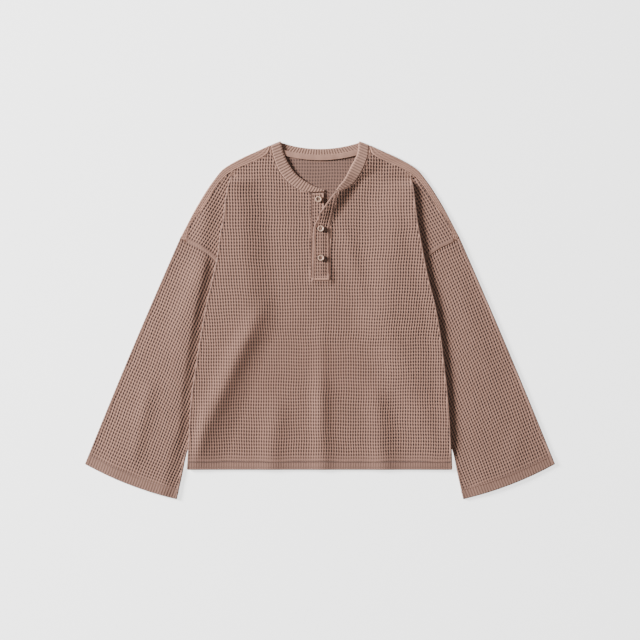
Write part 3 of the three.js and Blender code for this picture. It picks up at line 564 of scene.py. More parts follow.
def new_material(name):
    """An empty material, its node tree and the place on the object that its textures read."""
    material = bpy.data.materials.new(name)
    material.use_nodes = True
    tree = material.node_tree
    tree.nodes.clear()
    return material, tree, add_node(tree, "ShaderNodeTexCoord").outputs["Object"]


def spread(tree, value, low, high, to_low=0.0, to_high=1.0):
    """What a value gives when one range is mapped to another."""
    return add_node(
        tree, "ShaderNodeMapRange", {"Value": value},
        **{"From Min": low, "From Max": high, "To Min": to_low, "To Max": to_high}).outputs["Result"]


def blend(tree, factor, first, second):
    """The mix of two colours. Each is a hex colour or what another node gives."""
    node = add_node(tree, "ShaderNodeMix", {"Factor": factor}, data_type="RGBA")
    for socket, colour in ((6, first), (7, second)):
        if isinstance(colour, str):
            node.inputs[socket].default_value = linear(colour)
        else:
            tree.links.new(colour, node.inputs[socket])
    return node.outputs[2]


def cotton(name, light, dark, yarn_mm, bump=0.25):
    """Dyed cotton knit: yarn noise on the colour, a fibre bump, and painted shade in stored pits."""
    material, tree, place = new_material(name)
    stored = add_node(tree, "ShaderNodeAttribute", attribute_name="pit").outputs["Fac"]
    shade = blend(tree, spread(tree, stored, 0.05, 0.8), light, dark)
    fibres = add_node(
        tree, "ShaderNodeTexNoise", {"Vector": place}, Scale=1000 / yarn_mm, Detail=3.0, Roughness=0.6
    ).outputs["Fac"]
    clouds = add_node(
        tree, "ShaderNodeTexNoise", {"Vector": place}, Scale=1000 / CLOUD_MM, Detail=2.0).outputs["Fac"]
    grain, cloud = spread(tree, fibres, 0.3, 0.7, 0.86, 1.14), spread(tree, clouds, 0.3, 0.7, 0.96, 1.04)
    both = add_node(tree, "ShaderNodeMath", {0: grain, 1: cloud}, operation="MULTIPLY")
    colour = add_node(
        tree, "ShaderNodeVectorMath", {0: shade, "Scale": both.outputs[0]}, operation="SCALE")
    relief = add_node(tree, "ShaderNodeBump", {"Height": fibres}, Strength=bump, Distance=0.0004)
    shader = add_node(
        tree, "ShaderNodeBsdfPrincipled", {"Base Color": colour.outputs[0], "Normal": relief.outputs[0]},
        **{"Roughness": 0.92, "Sheen Weight": 0.25, "Sheen Roughness": 0.5, "Specular IOR Level": 0.25})
    add_node(tree, "ShaderNodeOutputMaterial", {"Surface": shader.outputs[0]})
    return material


# The dye takes a little unevenly, in clouds of this size.
CLOUD_MM = 45
# Yarn of about 0.7 mm, drawn a little coarser than it is so that it still shows at this distance.
waffle_cotton = cotton("waffle_knit_cotton", "#B28673", "#54403A", 0.9)
rib_cotton = cotton("rib_knit_cotton", "#B08674", "#54413A", 0.8)
tape_cotton = cotton("woven_cotton_tape", "#9E7868", "#7B584B", 0.5, bump=0.15)
print("Materials:", [m.name for m in (waffle_cotton, rib_cotton, tape_cotton)])

# %% [markdown]
# ## Front
# The front is one knitted panel. Its rows run level, and its columns draw in a little from the chest
# down to the middle of the body, as the photo shows. It is made as three sheets of one lattice that
# meet below the placket, so that the cells run through without a break. At each side a row goes on
# round the fold, and at the hem the rows go on under the edge as a turned hem.

# %% Front's lattice and edges
# the hem's depth, how far an edge stands up, and painted shade on cloth turned under at hems, cuffs and
# placket ends
HEM_DEPTH, EDGE_RISE, TURNED_EDGE_PAINTED_SHADE = 14.0, 0.35, 0.7
# forward of the hem, down from the face
HEM_TURN = [(13, 1.9), (3, 1.8), (0.2, 1.5), (-0.45, 1.1), (-0.45, 0.55)]
FRONT_COLUMNS, FRONT_FADE = (-200, 201), 1.8
# heights, and how wide a column is there as a share of a whole cell
COLUMN_AT, COLUMN_SHARE = (-40, 165), (0.92, 1.02)
# how far seams lean, how far a layer goes on past its fold, and the rows that close the neck corners
SEAM_LEAN, PAST_FOLD = 0.12, 4
CORNER_STEP, CORNER_TOP = 1.5, 313.6


def front_place(s, t):
    y = HEM_Y + t
    return s * np.interp(y, COLUMN_AT, COLUMN_SHARE), y


def front_side(side, y):
    """Where the face ends at the side: at the fold, or at the shoulder seam above it."""
    return np.where(PLEAT_TOP_Y[side] - y > 0, pleat(side, y)["fold"], front_outer(y))


def valley(distance, width):
    return np.exp(-(distance / width) ** 2)


def edge_rise(above):
    """A hem or cuff stands up a little, up to its stitches. above is the distance past those."""
    return EDGE_RISE * (1 - smooth(above / 1.5))


def edge_ribs(above):
    return 1 - smooth((above - 1) / 3)


def above_hem(y):
    return y - HEM_Y - HEM_DEPTH


def front_face(x, y):
    return front_top(x, y) + edge_rise(above_hem(y))


def turn_under(row, end, inset=0.0):
    """Points that carry a row's end round the side fold, or down into the shoulder seam."""
    x, y, z = row["p"][0 if end == "left" else -1]
    turn = float(pleat(end, y)["turn"]) if y < PLEAT_TOP_Y[end] else 0.0
    radius, sign = SKIN_RADIUS - inset, SIGN[end]
    points = [
        (sign * (abs(x) + radius * math.sin(angle)), y, z - radius * (1 - math.cos(angle)))
        for angle in np.linspace(0, turn, 8)[1:]]
    last_x, _, last_z = points[-1]
    if turn > 3.1:
        points.append((last_x - sign * PAST_FOLD, y, last_z + 0.02))
    else:
        share = turn / math.pi
        points.append((last_x - sign * PAST_FOLD * share, y, last_z - 1.4 * (1 - share)))
    return points[::-1] if end == "left" else points


def seam_tuck(row, first, way=0.0, down=1.5):
    """Points that turn the row's first or last end down into a seam, moving a little along x."""
    x, y, z = row["p"][0 if first else -1]
    points = [(x + way, y, z - down / 2), (x + way, y, z - down)]
    return points[::-1] if first else points


def hem_strength(x, y):
    """Cells are pressed shallow in the hem and fade in above it."""
    return 0.7 + 0.3 * smooth((above_hem(y) - 4) / 14)


def hem_lines(x, y):
    """Valleys along the stitches and along the hem's lower edge, sunk a little and darkened with painted
    shade.
    """
    return valley(above_hem(y), 1.2) + 0.6 * valley(y - HEM_Y - 4, 1.1)


def lower_region(x, y):
    left, right = front_side("left", y) + x, front_side("right", y) - x
    return np.minimum(np.minimum(left, right), y - HEM_Y + 0.01)


def upper_region(side, x, y):
    out = SIGN[side] * x
    return np.minimum(out - front_inner(side, y), front_side(side, y) - out)


NOTCH_ROW = int((NOTCH_BOTTOM_Y - HEM_Y) / SPACING[1])
print("Placket's foot is at row", NOTCH_ROW)

# %% Front's three sheets
lower = knit_rows(
    lower_region, front_place, front_face, FRONT_COLUMNS, (0, NOTCH_ROW + 1), FRONT_FADE,
    strength=hem_strength, ribbed=lambda x, y: edge_ribs(above_hem(y)), lines=hem_lines)
turned = [(down, moved(lower[0], (0, forward, -down), TURNED_EDGE_PAINTED_SHADE)) for forward, down in HEM_TURN]
lower = [
    extend(row, turn_under(row, "left", down), turn_under(row, "right", down))
    for down, row in turned + [(0.0, row) for row in lower]]
sheets = [zip_rows(lower)]
for side, sign in SIGN.items():
    upper = knit_rows(
        partial(upper_region, side), front_place, front_face, FRONT_COLUMNS, (NOTCH_ROW, 300),
        FRONT_FADE)
    top_y = upper[-1]["p"][:, 1].max()
    for i, row in enumerate(upper):
        ends = [turn_under(row, side), seam_tuck(row, side == "right", -sign * SEAM_LEAN)]
        upper[i] = extend(row, *(ends if side == "left" else ends[::-1]))
    for y in np.arange(top_y + CORNER_STEP, CORNER_TOP, CORNER_STEP):
        inner, outer = float(front_inner(side, y)), float(front_outer(y))
        outs = np.array([inner - 3, inner, (inner + outer) / 2, outer, outer + 3])
        z = front_face(sign * outs, np.full(5, y)) - (1.5, 0.2, 0, 0.2, 1.5)
        points = np.column_stack([sign * outs, np.full(5, y), z])[::int(sign)]
        upper.append(dict(plain_row(points, PLAIN_PAINTED_SHADE), u=points[:, 0] / SPACING[0]))
    sheets.append(zip_rows(upper))
print("Front has", sum(len(sheet[0]) for sheet in sheets), "points")

# %% [markdown]
# Beyond the side fold the front comes out again as the drop shoulder, a small triangle between the
# fold, the shoulder seam and the armhole. The cloth is cut across there, so its cells stand at an
# angle. The layer between the two, which only shows from below, goes back to the side seam.

# %% Drop shoulders and the layer under each side
WING_TURN, WING_CORNER_OUT, WING_TOP_Y = math.radians(31), 240.5, 268.0
WING_COS, WING_SIN = math.cos(WING_TURN), math.sin(WING_TURN)
WING_HEM, WING_UNDER_FOLD = 6.5, 9.0
# soft swelling of the left drop shoulder: height, distance past the fold and width
SWELL, SWELL_PAST, SWELL_WIDE = 1.7, 34.0, 17.0


def wing_frame(out, y):
    """Distances across the drop shoulder and up it, from its outer corner."""
    dx, dy = WING_CORNER_OUT - out, WING_CORNER_Y - y
    return dx * WING_COS + dy * WING_SIN, dx * WING_SIN - dy * WING_COS


armhole_y = np.linspace(60, WING_CORNER_Y, 200)
ARMHOLE_ACROSS, ARMHOLE_UP = (
    line[::-1] for line in wing_frame(armhole_out(armhole_y) - SEAM_GAP, armhole_y))


def wing_place(side, s, t):
    """The lattice's first row lies on the armhole, and its columns run up along the shoulder."""
    up = t + np.interp(s, ARMHOLE_ACROSS, ARMHOLE_UP)
    out = WING_CORNER_OUT - s * WING_COS - up * WING_SIN
    return SIGN[side] * out, WING_CORNER_Y - s * WING_SIN + up * WING_COS


def wing_region(side, x, y):
    out = SIGN[side] * x
    seam = shoulder_seam_out(np.maximum(y, WING_CORNER_Y)) - SEAM_GAP - out
    seam = np.where(y > WING_CORNER_Y - 30, seam, 9)
    return np.minimum(np.minimum(out - pleat(side, y)["fold"] + WING_UNDER_FOLD, seam), WING_TOP_Y - y)


def from_armhole(side, x, y):
    """Distance up from the armhole seam, measured along the wing's columns."""
    across, up = wing_frame(SIGN[side] * x, y)
    return up - np.interp(across, ARMHOLE_ACROSS, ARMHOLE_UP)


def wing_height(side, x, y):
    seam = from_armhole(side, x, y)
    lift = 0.25 * (1 - smooth((seam - WING_HEM) / 1.5))
    if side == "left":
        past = SIGN[side] * x - pleat(side, y)["fold"] - SWELL_PAST
        reach = smooth((seam + 8) / 14) * smooth((PLEAT_TOP_Y[side] - y) / 60)
        lift = lift + SWELL * valley(past, SWELL_WIDE) * reach
    return FRONT_LAYER + WALL / 2 + lift - 0.7 * smooth((y - PLEAT_TOP_Y[side] + 6) / 6)


def wing_plain(side, x, y):
    """Cells are shallow in the pressed band along the armhole, and the band takes the plain cloth's
    painted shade.
    """
    return 0.4 + 0.6 * smooth((from_armhole(side, x, y) - WING_HEM) / 2)


def under_side_rows(side):
    """Profile of the layer that goes from the fold back to the side seam, its outer face down."""
    rows = []
    step_y = np.linspace(UNDERARM_Y, UNDERARM_Y - STEP_LENGTH, 14)
    for y in np.r_[step_y, np.linspace(-50, HEM_Y + 0.5, 60)]:
        p = pleat(side, y)
        fold, under, inner = float(p["fold"]), float(p["under"]), float(p["inner"])
        first, second, radius = (float(v) for v in p["step"])
        middle = [(fold, under, 0.0)]
        middle += [(inner + (fold - inner) * f, under, 0.0) for f in (0.75, 0.5, 0.25, 0.0)]
        for a in first * np.linspace(0.2, 1, 5):
            middle.append((inner - radius * math.sin(a), under - radius * (1 - math.cos(a)), a))
        turned_out, low, _ = middle[-1]
        for f in np.linspace(0.25, 1, 4):
            a = first + (second - first) * f
            middle.append((
                turned_out - radius * (math.sin(first) - math.sin(a)),
                low - radius * (math.cos(a) - math.cos(first)), a))
        rows.append(plain_row([
            (SIGN[side] * (out + WALL / 2 * math.sin(a)), y, z - WALL / 2 * math.cos(a))
            for out, z, a in middle]))
    return rows


for side, sign in SIGN.items():
    wing = knit_rows(
        partial(wing_region, side), partial(wing_place, side), partial(wing_height, side), (-60, 90),
        (0, 110), fade=1.5, strength=partial(wing_plain, side))
    wing.insert(0, moved(wing[0], (sign * 0.1, -0.2, -1.6)))
    wing = [extend(row, seam_tuck(row, True, sign * SEAM_LEAN)) for row in wing]
    sheets.append(zip_rows(wing, flip=side == "right"))
    sheets.append(zip_rows(under_side_rows(side), flip=side == "left"))
front = make_piece("front_waffle", sheets, waffle_cotton)
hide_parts("front")

# %% [markdown]
# ## Sleeves
# Each sleeve is a flattened tube, so its face, its round outer edge and its underside are one sheet.
# The columns run down the arm and the rows bend a little to meet the cuff's curve. What lies under
# the body is kept smooth and coarse, because nobody sees it.

# %% Sleeve's frame and height
SLEEVE_TOP, SLEEVE_BOW, CUFF_BOW = (251.5, 147.2), 2.0, 6.0
SLEEVE_LOFT, SLEEVE_OUTER_RUN = {"left": 1.8, "right": 0.9}, {"left": 60.0, "right": 70.0}
SEAM_RUN, CUFF_DEPTH = {"left": 35.0, "right": 70.0}, 17.0
# from the body's fold: where the sleeve starts to rise, and over how far
SLEEVE_RISE = {"left": (-7.0, 26.0), "right": (14.0, 44.0)}
# crown of the left sleeve: heights up the body, how high it stands there, and its distance from the fold
CROWN_AT, CROWN, CROWN_PAST = (-300, -130, 30), (0.8, 1.5, 3.0), 22
# a distance along x is this much shorter square to the inner edge, and the armhole is this long
INNER_SLANT, ARMHOLE_LONG = 0.92, 163
# up the arm, in from the face
CUFF_TURN = [(14, 1.75), (3, 1.7), (0.2, 1.4), (-0.4, 1.05), (-0.4, 0.5)]
sleeve_vector = np.array(CUFF_OUTER) - SLEEVE_TOP
SLEEVE_LONG = float(np.linalg.norm(sleeve_vector))
down_arm = sleeve_vector / SLEEVE_LONG
across_arm = np.array([down_arm[1], -down_arm[0]])
cuff_vector = np.array(CUFF_INNER) - CUFF_OUTER
CUFF_WIDE = float(np.linalg.norm(cuff_vector))
cuff_normal = np.array([cuff_vector[1], -cuff_vector[0]]) / CUFF_WIDE
SLEEVE_ROWS = int(round(SLEEVE_LONG / SPACING[1] / POINTS_A_CELL)) * POINTS_A_CELL


def arm_frame(out, y):
    """Distances across the arm and down it from the sleeve's top."""
    dx, dy = out - SLEEVE_TOP[0], y - SLEEVE_TOP[1]
    return dx * across_arm[0] + dy * across_arm[1], dx * down_arm[0] + dy * down_arm[1]


def on_arm(side, across, along):
    """The place on the table at these distances across the arm and down it."""
    out = SLEEVE_TOP[0] + down_arm[0] * along + across_arm[0] * across
    return SIGN[side] * out, SLEEVE_TOP[1] + down_arm[1] * along + across_arm[1] * across


seam_y = np.linspace(UNDERARM_Y, SHOULDER_END_Y, 300)
ARM_ACROSS, ARM_ALONG = (line[::-1] for line in arm_frame(armhole_out(seam_y) + 0.5, seam_y))


def cuff_along(s):
    """How far down the arm the cuff's edge is, at s across from the outer edge."""
    part = np.clip(s / CUFF_WIDE, -0.3, 1.3)
    bow = CUFF_BOW * 4 * part * (1 - part)
    slope = (cuff_vector @ down_arm) / CUFF_WIDE
    return SLEEVE_LONG + s * slope + bow * abs(cuff_normal @ down_arm)


def sleeve_place(side, s, t):
    """The first row lies on the cuff's edge and the last on the armhole seam."""
    share = 1 - t / SPACING[1] / SLEEVE_ROWS
    start = np.interp(s, ARM_ACROSS, ARM_ALONG)
    bow = SLEEVE_BOW * np.sin(np.pi * np.clip(share, 0, 1))
    return on_arm(side, s - bow, start + (cuff_along(s) - start) * share)


def sleeve_local(side, x, y):
    across, along = arm_frame(SIGN[side] * x, y)
    return across + SLEEVE_BOW * np.sin(np.pi * np.clip(along / SLEEVE_LONG, 0, 1)), along


def above_cuff(side, x, y):
    s, along = sleeve_local(side, x, y)
    return cuff_along(s) - along - CUFF_DEPTH


def sleeve_region(side, x, y):
    s, _ = sleeve_local(side, x, y)
    inner = (SIGN[side] * x - sleeve_inner_out(y)) * INNER_SLANT - SKIN_RADIUS
    return np.minimum(s - SKIN_RADIUS, np.where(y > UNDERARM_Y, ARMHOLE_LONG - s, inner))


def sleeve_height(side, x, y):
    s, along = sleeve_local(side, x, y)
    out = SIGN[side] * x
    past_fold = out - fold_out[side](y)
    begin, run = SLEEVE_RISE[side]
    room = smooth((past_fold - begin) / run) * smooth((s - 2) / SLEEVE_OUTER_RUN[side])
    room = room * smooth(((out - sleeve_inner_out(y)) * INNER_SLANT - 2) / 30 + smooth((y + 160) / 80))
    from_seam = np.clip((along - np.interp(s, ARM_ACROSS, ARM_ALONG)) / SEAM_RUN[side], 0, 9)
    lift = SLEEVE_LOFT[side] * smooth(from_seam) + ridges(SLEEVE_FOLDS[side], x, y)
    if side == "left":
        past = past_fold - CROWN_PAST
        crown = np.interp(y, CROWN_AT, CROWN) * valley(past, np.where(past < 0, 12, 30))
        lift = lift + crown * smooth(from_seam + 0.4)
    return FRONT_LAYER + WALL / 2 + room * lift + edge_rise(above_cuff(side, x, y))


def cuff_strength(side, x, y):
    return 0.75 + 0.25 * smooth((above_cuff(side, x, y) + 2) / 18)


print("Sleeve is", round(SLEEVE_LONG), "mm long, in", SLEEVE_ROWS, "rows")

# %% Sleeves' ends and sheets
def under_body(side, x, y):
    return fold_out[side](y) - 12 - SIGN[side] * x


def sleeve_end(row, end, face, inset):
    """Points round the flattened tube's edge, from the face or the underside to the middle height."""
    last, other = row["p"][[0, 1] if end < 0 else [-1, -2]]
    way = (last - other) * (1, 1, 0)
    way /= max(np.linalg.norm(way), 1e-6)
    radius = SKIN_RADIUS - inset
    points = [
        last + way * radius * math.sin(a) - np.array([0, 0, face * radius * (1 - math.cos(a))])
        for a in np.linspace(0, math.pi / 2, 6)[1:]]
    return points[::-1] if end < 0 else points


def sleeve_sheets(side):
    made = []
    for face in (1, -1):
        on_top = face > 0
        # the cuff's stitch valley is sunk a little and darkened with painted shade
        rows = knit_rows(
            partial(sleeve_region, side), partial(sleeve_place, side),
            partial(sleeve_height, side) if on_top else level(0.0), (-6, 200), (0, SLEEVE_ROWS + 1),
            fade=2.0, pit=PIT_DEPTH * face, hidden=partial(under_body, side) if on_top else None,
            strength=partial(cuff_strength, side), ribbed=lambda x, y: edge_ribs(above_cuff(side, x, y)),
            lines=lambda x, y: 0.7 * valley(above_cuff(side, x, y), 1.2))
        whole = []
        for up, inwards in CUFF_TURN:
            shift = (-SIGN[side] * down_arm[0] * up, -down_arm[1] * up, -inwards * face)
            whole.append((inwards, moved(rows[0], shift, TURNED_EDGE_PAINTED_SHADE)))
        into_seam = [(0, 0.2, -1.5 * face), (-SIGN[side] * 2.4, 3.2, -1.6 * face)]
        whole += [(0.0, row) for row in rows + [moved(rows[-1], shift) for shift in into_seam]]
        for i, (inset, row) in enumerate(whole):
            if row["p"][-1][1] > UNDERARM_Y:
                inner = seam_tuck(row, False, 0.0, 1.4 * face)
            else:
                inner = sleeve_end(row, 1, face, inset)
            whole[i] = extend(row, sleeve_end(row, -1, face, inset), inner)
        made.append(zip_rows(whole, flip=(side == "left") != on_top))
    return made


for side in SIGN:
    sleeve = make_piece(f"sleeve_waffle_{side}", sleeve_sheets(side), waffle_cotton)
    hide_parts(f"sleeve_{side}")

# %% [markdown]
# ## Back
# The back lies flat on the surface and rolls over each shoulder to the seam in front. Its inside
# shows in the neck opening, its face shows on the shoulders, and the whole of it shows from below.

# %% Back
back_corner = seam_line["right"][0]
BACK_NECK_OUT, BACK_NECK_DROP = back_corner[0] + SEAM_GAP, back_corner[1] - BACK_SEAM_Y


def back_inner(y):
    return BACK_NECK_OUT * np.sqrt(np.clip((y + SEAM_GAP - BACK_SEAM_Y) / BACK_NECK_DROP, 0, 1))


def back_roll(side, y):
    height = FRONT_LAYER + neck_lift(side, shoulder_seam_out(y), y)
    return (height - FLOOR_LAYER) / 2, height


def back_edge(side, y):
    y = np.asarray(y, dtype=float)
    radius, _ = back_roll(side, y)
    rolled = np.maximum(back_inner(y) + 0.4, shoulder_fold_out(y) - radius - WALL / 2)
    seam = np.where(y > UNDERARM_Y, armhole_out(y), side_seam_out(y)) - SEAM_GAP
    return np.where(y >= SHOULDER_END_Y, rolled, seam)


def back_region(x, y):
    side_in = np.minimum(back_edge("left", y) + x, back_edge("right", y) - x)
    neck = BACK_SEAM_Y - SEAM_GAP + BACK_NECK_DROP * (x / BACK_NECK_OUT) ** 2 - y
    neck = np.where(y > BACK_SEAM_Y - 3, neck, 9.0)
    return np.minimum(np.minimum(side_in, y - HEM_Y + 0.01), neck)


def back_half(side, x, y):
    return np.minimum(back_region(x, y), SIGN[side] * x - back_inner(y))


def back_place(s, t):
    return s + 0 * t, HEM_Y + t


def back_covered(x, y):
    """The inside only shows in the neck opening."""
    line = np.where(x < 0, np.interp(y, [200, 240, 262, 300, 330], [0, 14, 48, 74, 76]),
                    np.interp(y, [180, 230, 250, 275, 300, 330], [8, 30, 46, 60, 76, 76]))
    return np.abs(x) - line


# The wrong side of the knit is flatter than its face, and lies in the shade of the opening; that
# shade is painted on it as a darker tint.
BACK_SHARE, INSIDE_STRENGTH, INSIDE_PAINTED_SHADE = 0.7, 0.75, 0.28
top_row = int((BACK_SEAM_Y - HEM_Y - 1) / SPACING[1])
parts = [(back_region, (0, top_row + 1))]
parts += [(partial(back_half, side), (top_row, 300)) for side in SIGN]
sheets = []
for face in (1, -1):
    inside = face > 0
    for region, j_range in parts:
        rows = knit_rows(
            region, back_place, level(WALL if inside else 0.0), (-170, 171), j_range, fade=2.5,
            pit=PIT_DEPTH * BACK_SHARE * face, hidden=back_covered if inside else None,
            strength=level(INSIDE_STRENGTH) if inside else None)
        for row in rows:
            row["pit"] = row["pit"] * BACK_SHARE + (INSIDE_PAINTED_SHADE if inside else 0)
        sheets.append(zip_rows(rows, flip=not inside))

# %% The roll over each shoulder
SHOULDER_POINTS, SHOULDER_SHARE, SHOULDER_TINT = 14, 0.55, 0.12
# rows that close the roll at the neck corner: size, inwards, up
CORNER_ROWS = [(0.95, 1.3, 0.3), (0.8, 2.2, 0.2), (0.4, 3.4, -0.6)]


def shoulder_rows(side):
    """Rows across the shoulder, from the floor, round the fold and up to the seam on the front."""
    sign, index = SIGN[side], np.arange(SHOULDER_POINTS)
    seam_y = np.arange(WING_CORNER_Y, 313.5, 0.5)
    steps = np.r_[0, np.cumsum(np.hypot(np.diff(seam_y), np.diff(shoulder_seam_out(seam_y))))]
    rows = []
    for j in range(int(steps[-1] / SPACING[1]) + 1):
        y = float(np.interp(j * SPACING[1], steps, seam_y))
        radius, height = (float(v) for v in back_roll(side, y))
        edge = float(back_edge(side, max(y, SHOULDER_END_Y)))
        seam = min(float(shoulder_seam_out(y)) + SEAM_GAP, edge - 0.2)
        skin = radius + WALL / 2
        if y < SHOULDER_END_Y:
            edge, skin = float(armhole_out(y)) - 0.3, 1e-6
        flat = edge - seam
        u = index / (SHOULDER_POINTS - 1) * (flat + math.pi * skin)
        turn = np.clip((u - flat) / skin, 0, math.pi)
        share = SHOULDER_SHARE * pit_share(index - 1, j, 0.2)
        share = share * smooth(np.minimum(index, SHOULDER_POINTS - 1 - index) / 1.0)
        points = np.column_stack([
            sign * (seam + np.minimum(u, flat) + skin * np.sin(turn)), np.full(SHOULDER_POINTS, y),
            height + WALL / 2 - skin * (1 - np.cos(turn))])
        normal = np.column_stack([sign * np.sin(turn), np.zeros(SHOULDER_POINTS), np.cos(turn)])
        points = points - normal * (PIT_DEPTH * share)[:, None]
        tuck = points[0] - np.array([sign * 0.1, 0, 1.4])
        rows.append(plain_row(
            np.vstack([tuck, points]), np.maximum(np.r_[0, share], SHOULDER_TINT), j))
    end = rows[-1]
    middle = end["p"].mean(axis=0)
    for size, inwards, up in CORNER_ROWS:
        rows.append(dict(end, p=middle + (end["p"] - middle) * size + (-sign * inwards, up, 0)))
    return rows


for side in SIGN:
    sheets.append(zip_rows(shoulder_rows(side), flip=side == "left"))
back = make_piece("back_waffle", sheets, waffle_cotton)
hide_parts("back")

# %% [markdown]
# ## Neckband
# The band is a strip of rib knit, doubled and sewn on, with fine ribs that run from its seam to its
# free edge. It goes up one side of the placket, flat round the neck, turns over at each corner and
# lies inside out across the back. Each rib is a rounded ridge with a narrow valley beside it.

# %% Neckband
RIB_POINTS, BAND_POINTS = 8, 500
ACROSS = [0.0, 0.04, 0.1, 0.2, 0.35, 0.5, 0.65, 0.8, 0.9, 0.96, 1.0]


def band_stations():
    """Pairs of free edge and seam in order round the neck, with the upward direction of each."""
    flat, turned, count = {}, {}, np.arange(BAND_POINTS)
    for side in SIGN:
        free, seam, radius, past = band_edges(side, BAND_POINTS)
        length = np.r_[0, np.cumsum(np.linalg.norm(np.diff(seam, axis=0), axis=1))]
        at_steps = np.interp(np.arange(0, length[-1], RIB_PITCH / RIB_POINTS), length, count)
        flat[side], turned[side] = [], []
        for i in np.r_[at_steps, BAND_POINTS - 1]:
            pair = []
            for line in (free, seam):
                x, y = (float(np.interp(i, count, line[:, axis])) for axis in (0, 1))
                pair.append(np.array([x, y, FRONT_LAYER + float(neck_lift(side, SIGN[side] * x, y))]))
            flat[side].append((pair, np.array([0, 0, 1.0])))
        for angle in np.linspace(0, math.pi, 13)[1:-1]:
            sine, cosine = math.sin(angle), math.cos(angle)
            z = BAND_LAYER + radius * (1 + cosine)
            pair = [np.array([*(line[0] + past * radius * sine), z]) for line in (free, seam)]
            turned[side].append((pair, np.array([past[0] * sine, past[1] * sine, cosine])))
    across = []
    for u in np.linspace(-1, 1, int(2 * NECK_SEAM_OUT / RIB_PITCH) * RIB_POINTS + 1):
        pair = [
            np.array([line[0][0] * u, middle_y + (line[0][1] - middle_y) * u * u, BAND_LAYER])
            for line, middle_y in ((free, BACK_FREE_Y), (seam, BACK_SEAM_Y))]
        across.append((pair, np.array([0, 0, -1.0])))
    return flat["left"][::-1] + turned["left"] + across + turned["right"][::-1] + flat["right"]


def neckband_sheet():
    stations = band_stations()
    middle = np.array([(pair[0] + pair[1]) / 2 for pair, _ in stations])
    run = np.r_[0, np.cumsum(np.linalg.norm(np.diff(middle, axis=0), axis=1))]
    rows = []
    for i, (pair, normal) in enumerate(stations):
        dip = 1 - (0.5 + 0.5 * math.cos(run[i] / RIB_PITCH * 2 * math.pi)) ** 0.8
        points, pits = [], []
        for face in (1, -1):
            thick = BAND_WALL / 2 - 0.1 - 0.5 * dip + (RIB_HEIGHT if face > 0 else 0)
            for a in ACROSS[::face]:
                edge = smooth(min(a / 0.12, (1 - a) / 0.05))
                lift = thick * (0.25 + 0.75 * edge)
                x, y, z = pair[0] + (pair[1] - pair[0]) * a + normal * face * lift
                points.append((x, y, max(z, 0.0)))
                # painted shade: a little all over the band, and more in each rib's valley
                pits.append(0.15 + 0.5 * dip * edge)
        rows.append(plain_row(points + points[:1], np.array(pits + pits[:1]), i))
    return zip_rows(rows)


neckband = make_piece("neckband_rib", [neckband_sheet()], rib_cotton)
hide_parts("neckband")

# %% [markdown]
# A smooth woven tape covers the seam at the back of the neck, so that the seam's raw edge doesn't
# scratch. It is a thin strip with a rounded edge.

# %% Neck tape
TAPE_HALF, TAPE_LOWER, TAPE_WALL = 72.0, 286.7, 1.0
TAPE_RISE, TAPE_RISE_AT = 4.9, 49.0
TAPE_Z = BAND_WALL + RIB_HEIGHT + SEAM_GAP
# across the tape and up from the band, with a stitched valley along each edge
TAPE_SECTION = [
    (0, 0), (0, 0.7), (0.5, 1.0), (1.4, 0.8), (3, 1.0), (5, 1.05), (7, 1.0), (8.5, 0.8), (9.4, 1.0),
    (9.9, 0.7), (9.9, 0), (0, 0),
]


def tape_sheet():
    rows = []
    for x in np.linspace(-TAPE_HALF, TAPE_HALF, 121):
        rise = TAPE_RISE * (x / TAPE_RISE_AT) ** 2
        wave = 0.12 * math.sin(x / 6.5) + 0.08 * math.sin(x / 3.1 + 1)
        rows.append(plain_row([
            (x, TAPE_LOWER + rise + across, TAPE_Z + up * TAPE_WALL + wave * (up > 0))
            for across, up in TAPE_SECTION]))
    return zip_rows(rows)


tape = make_piece("neck_tape_cotton", [tape_sheet()], tape_cotton)
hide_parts("neck_tape")

# %% [markdown]
# ## Placket
# The opening is faced with two strips of the same knit. The under one lies flat and carries the top
# button. The top one is sewn to the front along its right side and across its foot, and its free
# corner is rolled back, so its edge runs up and to the right.

# %% Both plackets
PLACKET_BOTTOM, PLACKET_TOP, PLACKET_BOX = 71.6, 228.4, 84.0
ROLL = {"start": 188.0, "turn": 12.0, "depth": 10.0, "run": 16.0, "keep": 5.0}
UNDER_PLACKET = {"left": -14.5, "right": 7.2, "bottom": 76.8, "top": 228.6}
PLACKET_EDGE, PLACKET_STEP, PLACKET_SHARE = 3.4, 4.3 / POINTS_A_CELL, 0.85
BUTTON_PLACES = [
    ("button_1", -2.5, 216.6, False), ("button_2", 1.6, 163.7, True), ("button_3", 1.8, 111.2, True),
]
WRAP_POINTS = 8
# past the end, down from the face
PLACKET_TURN = [(0.4, 0.5), (0.5, 1.0), (0.3, 1.7), (-2.0, 1.9)]
UNDER_TURN = [(0.35, 0.3), (0.5, 0.9), (0.4, 1.6)]


def placket_height(x, y):
    free = neck_lift("right", x, y)
    boxed = smooth((PLACKET_BOX - y) / (PLACKET_BOX - NOTCH_BOTTOM_Y))
    return FRONT_LAYER + free + (PLACKET_LIFT - free) * boxed + PLACKET_WALL / 2


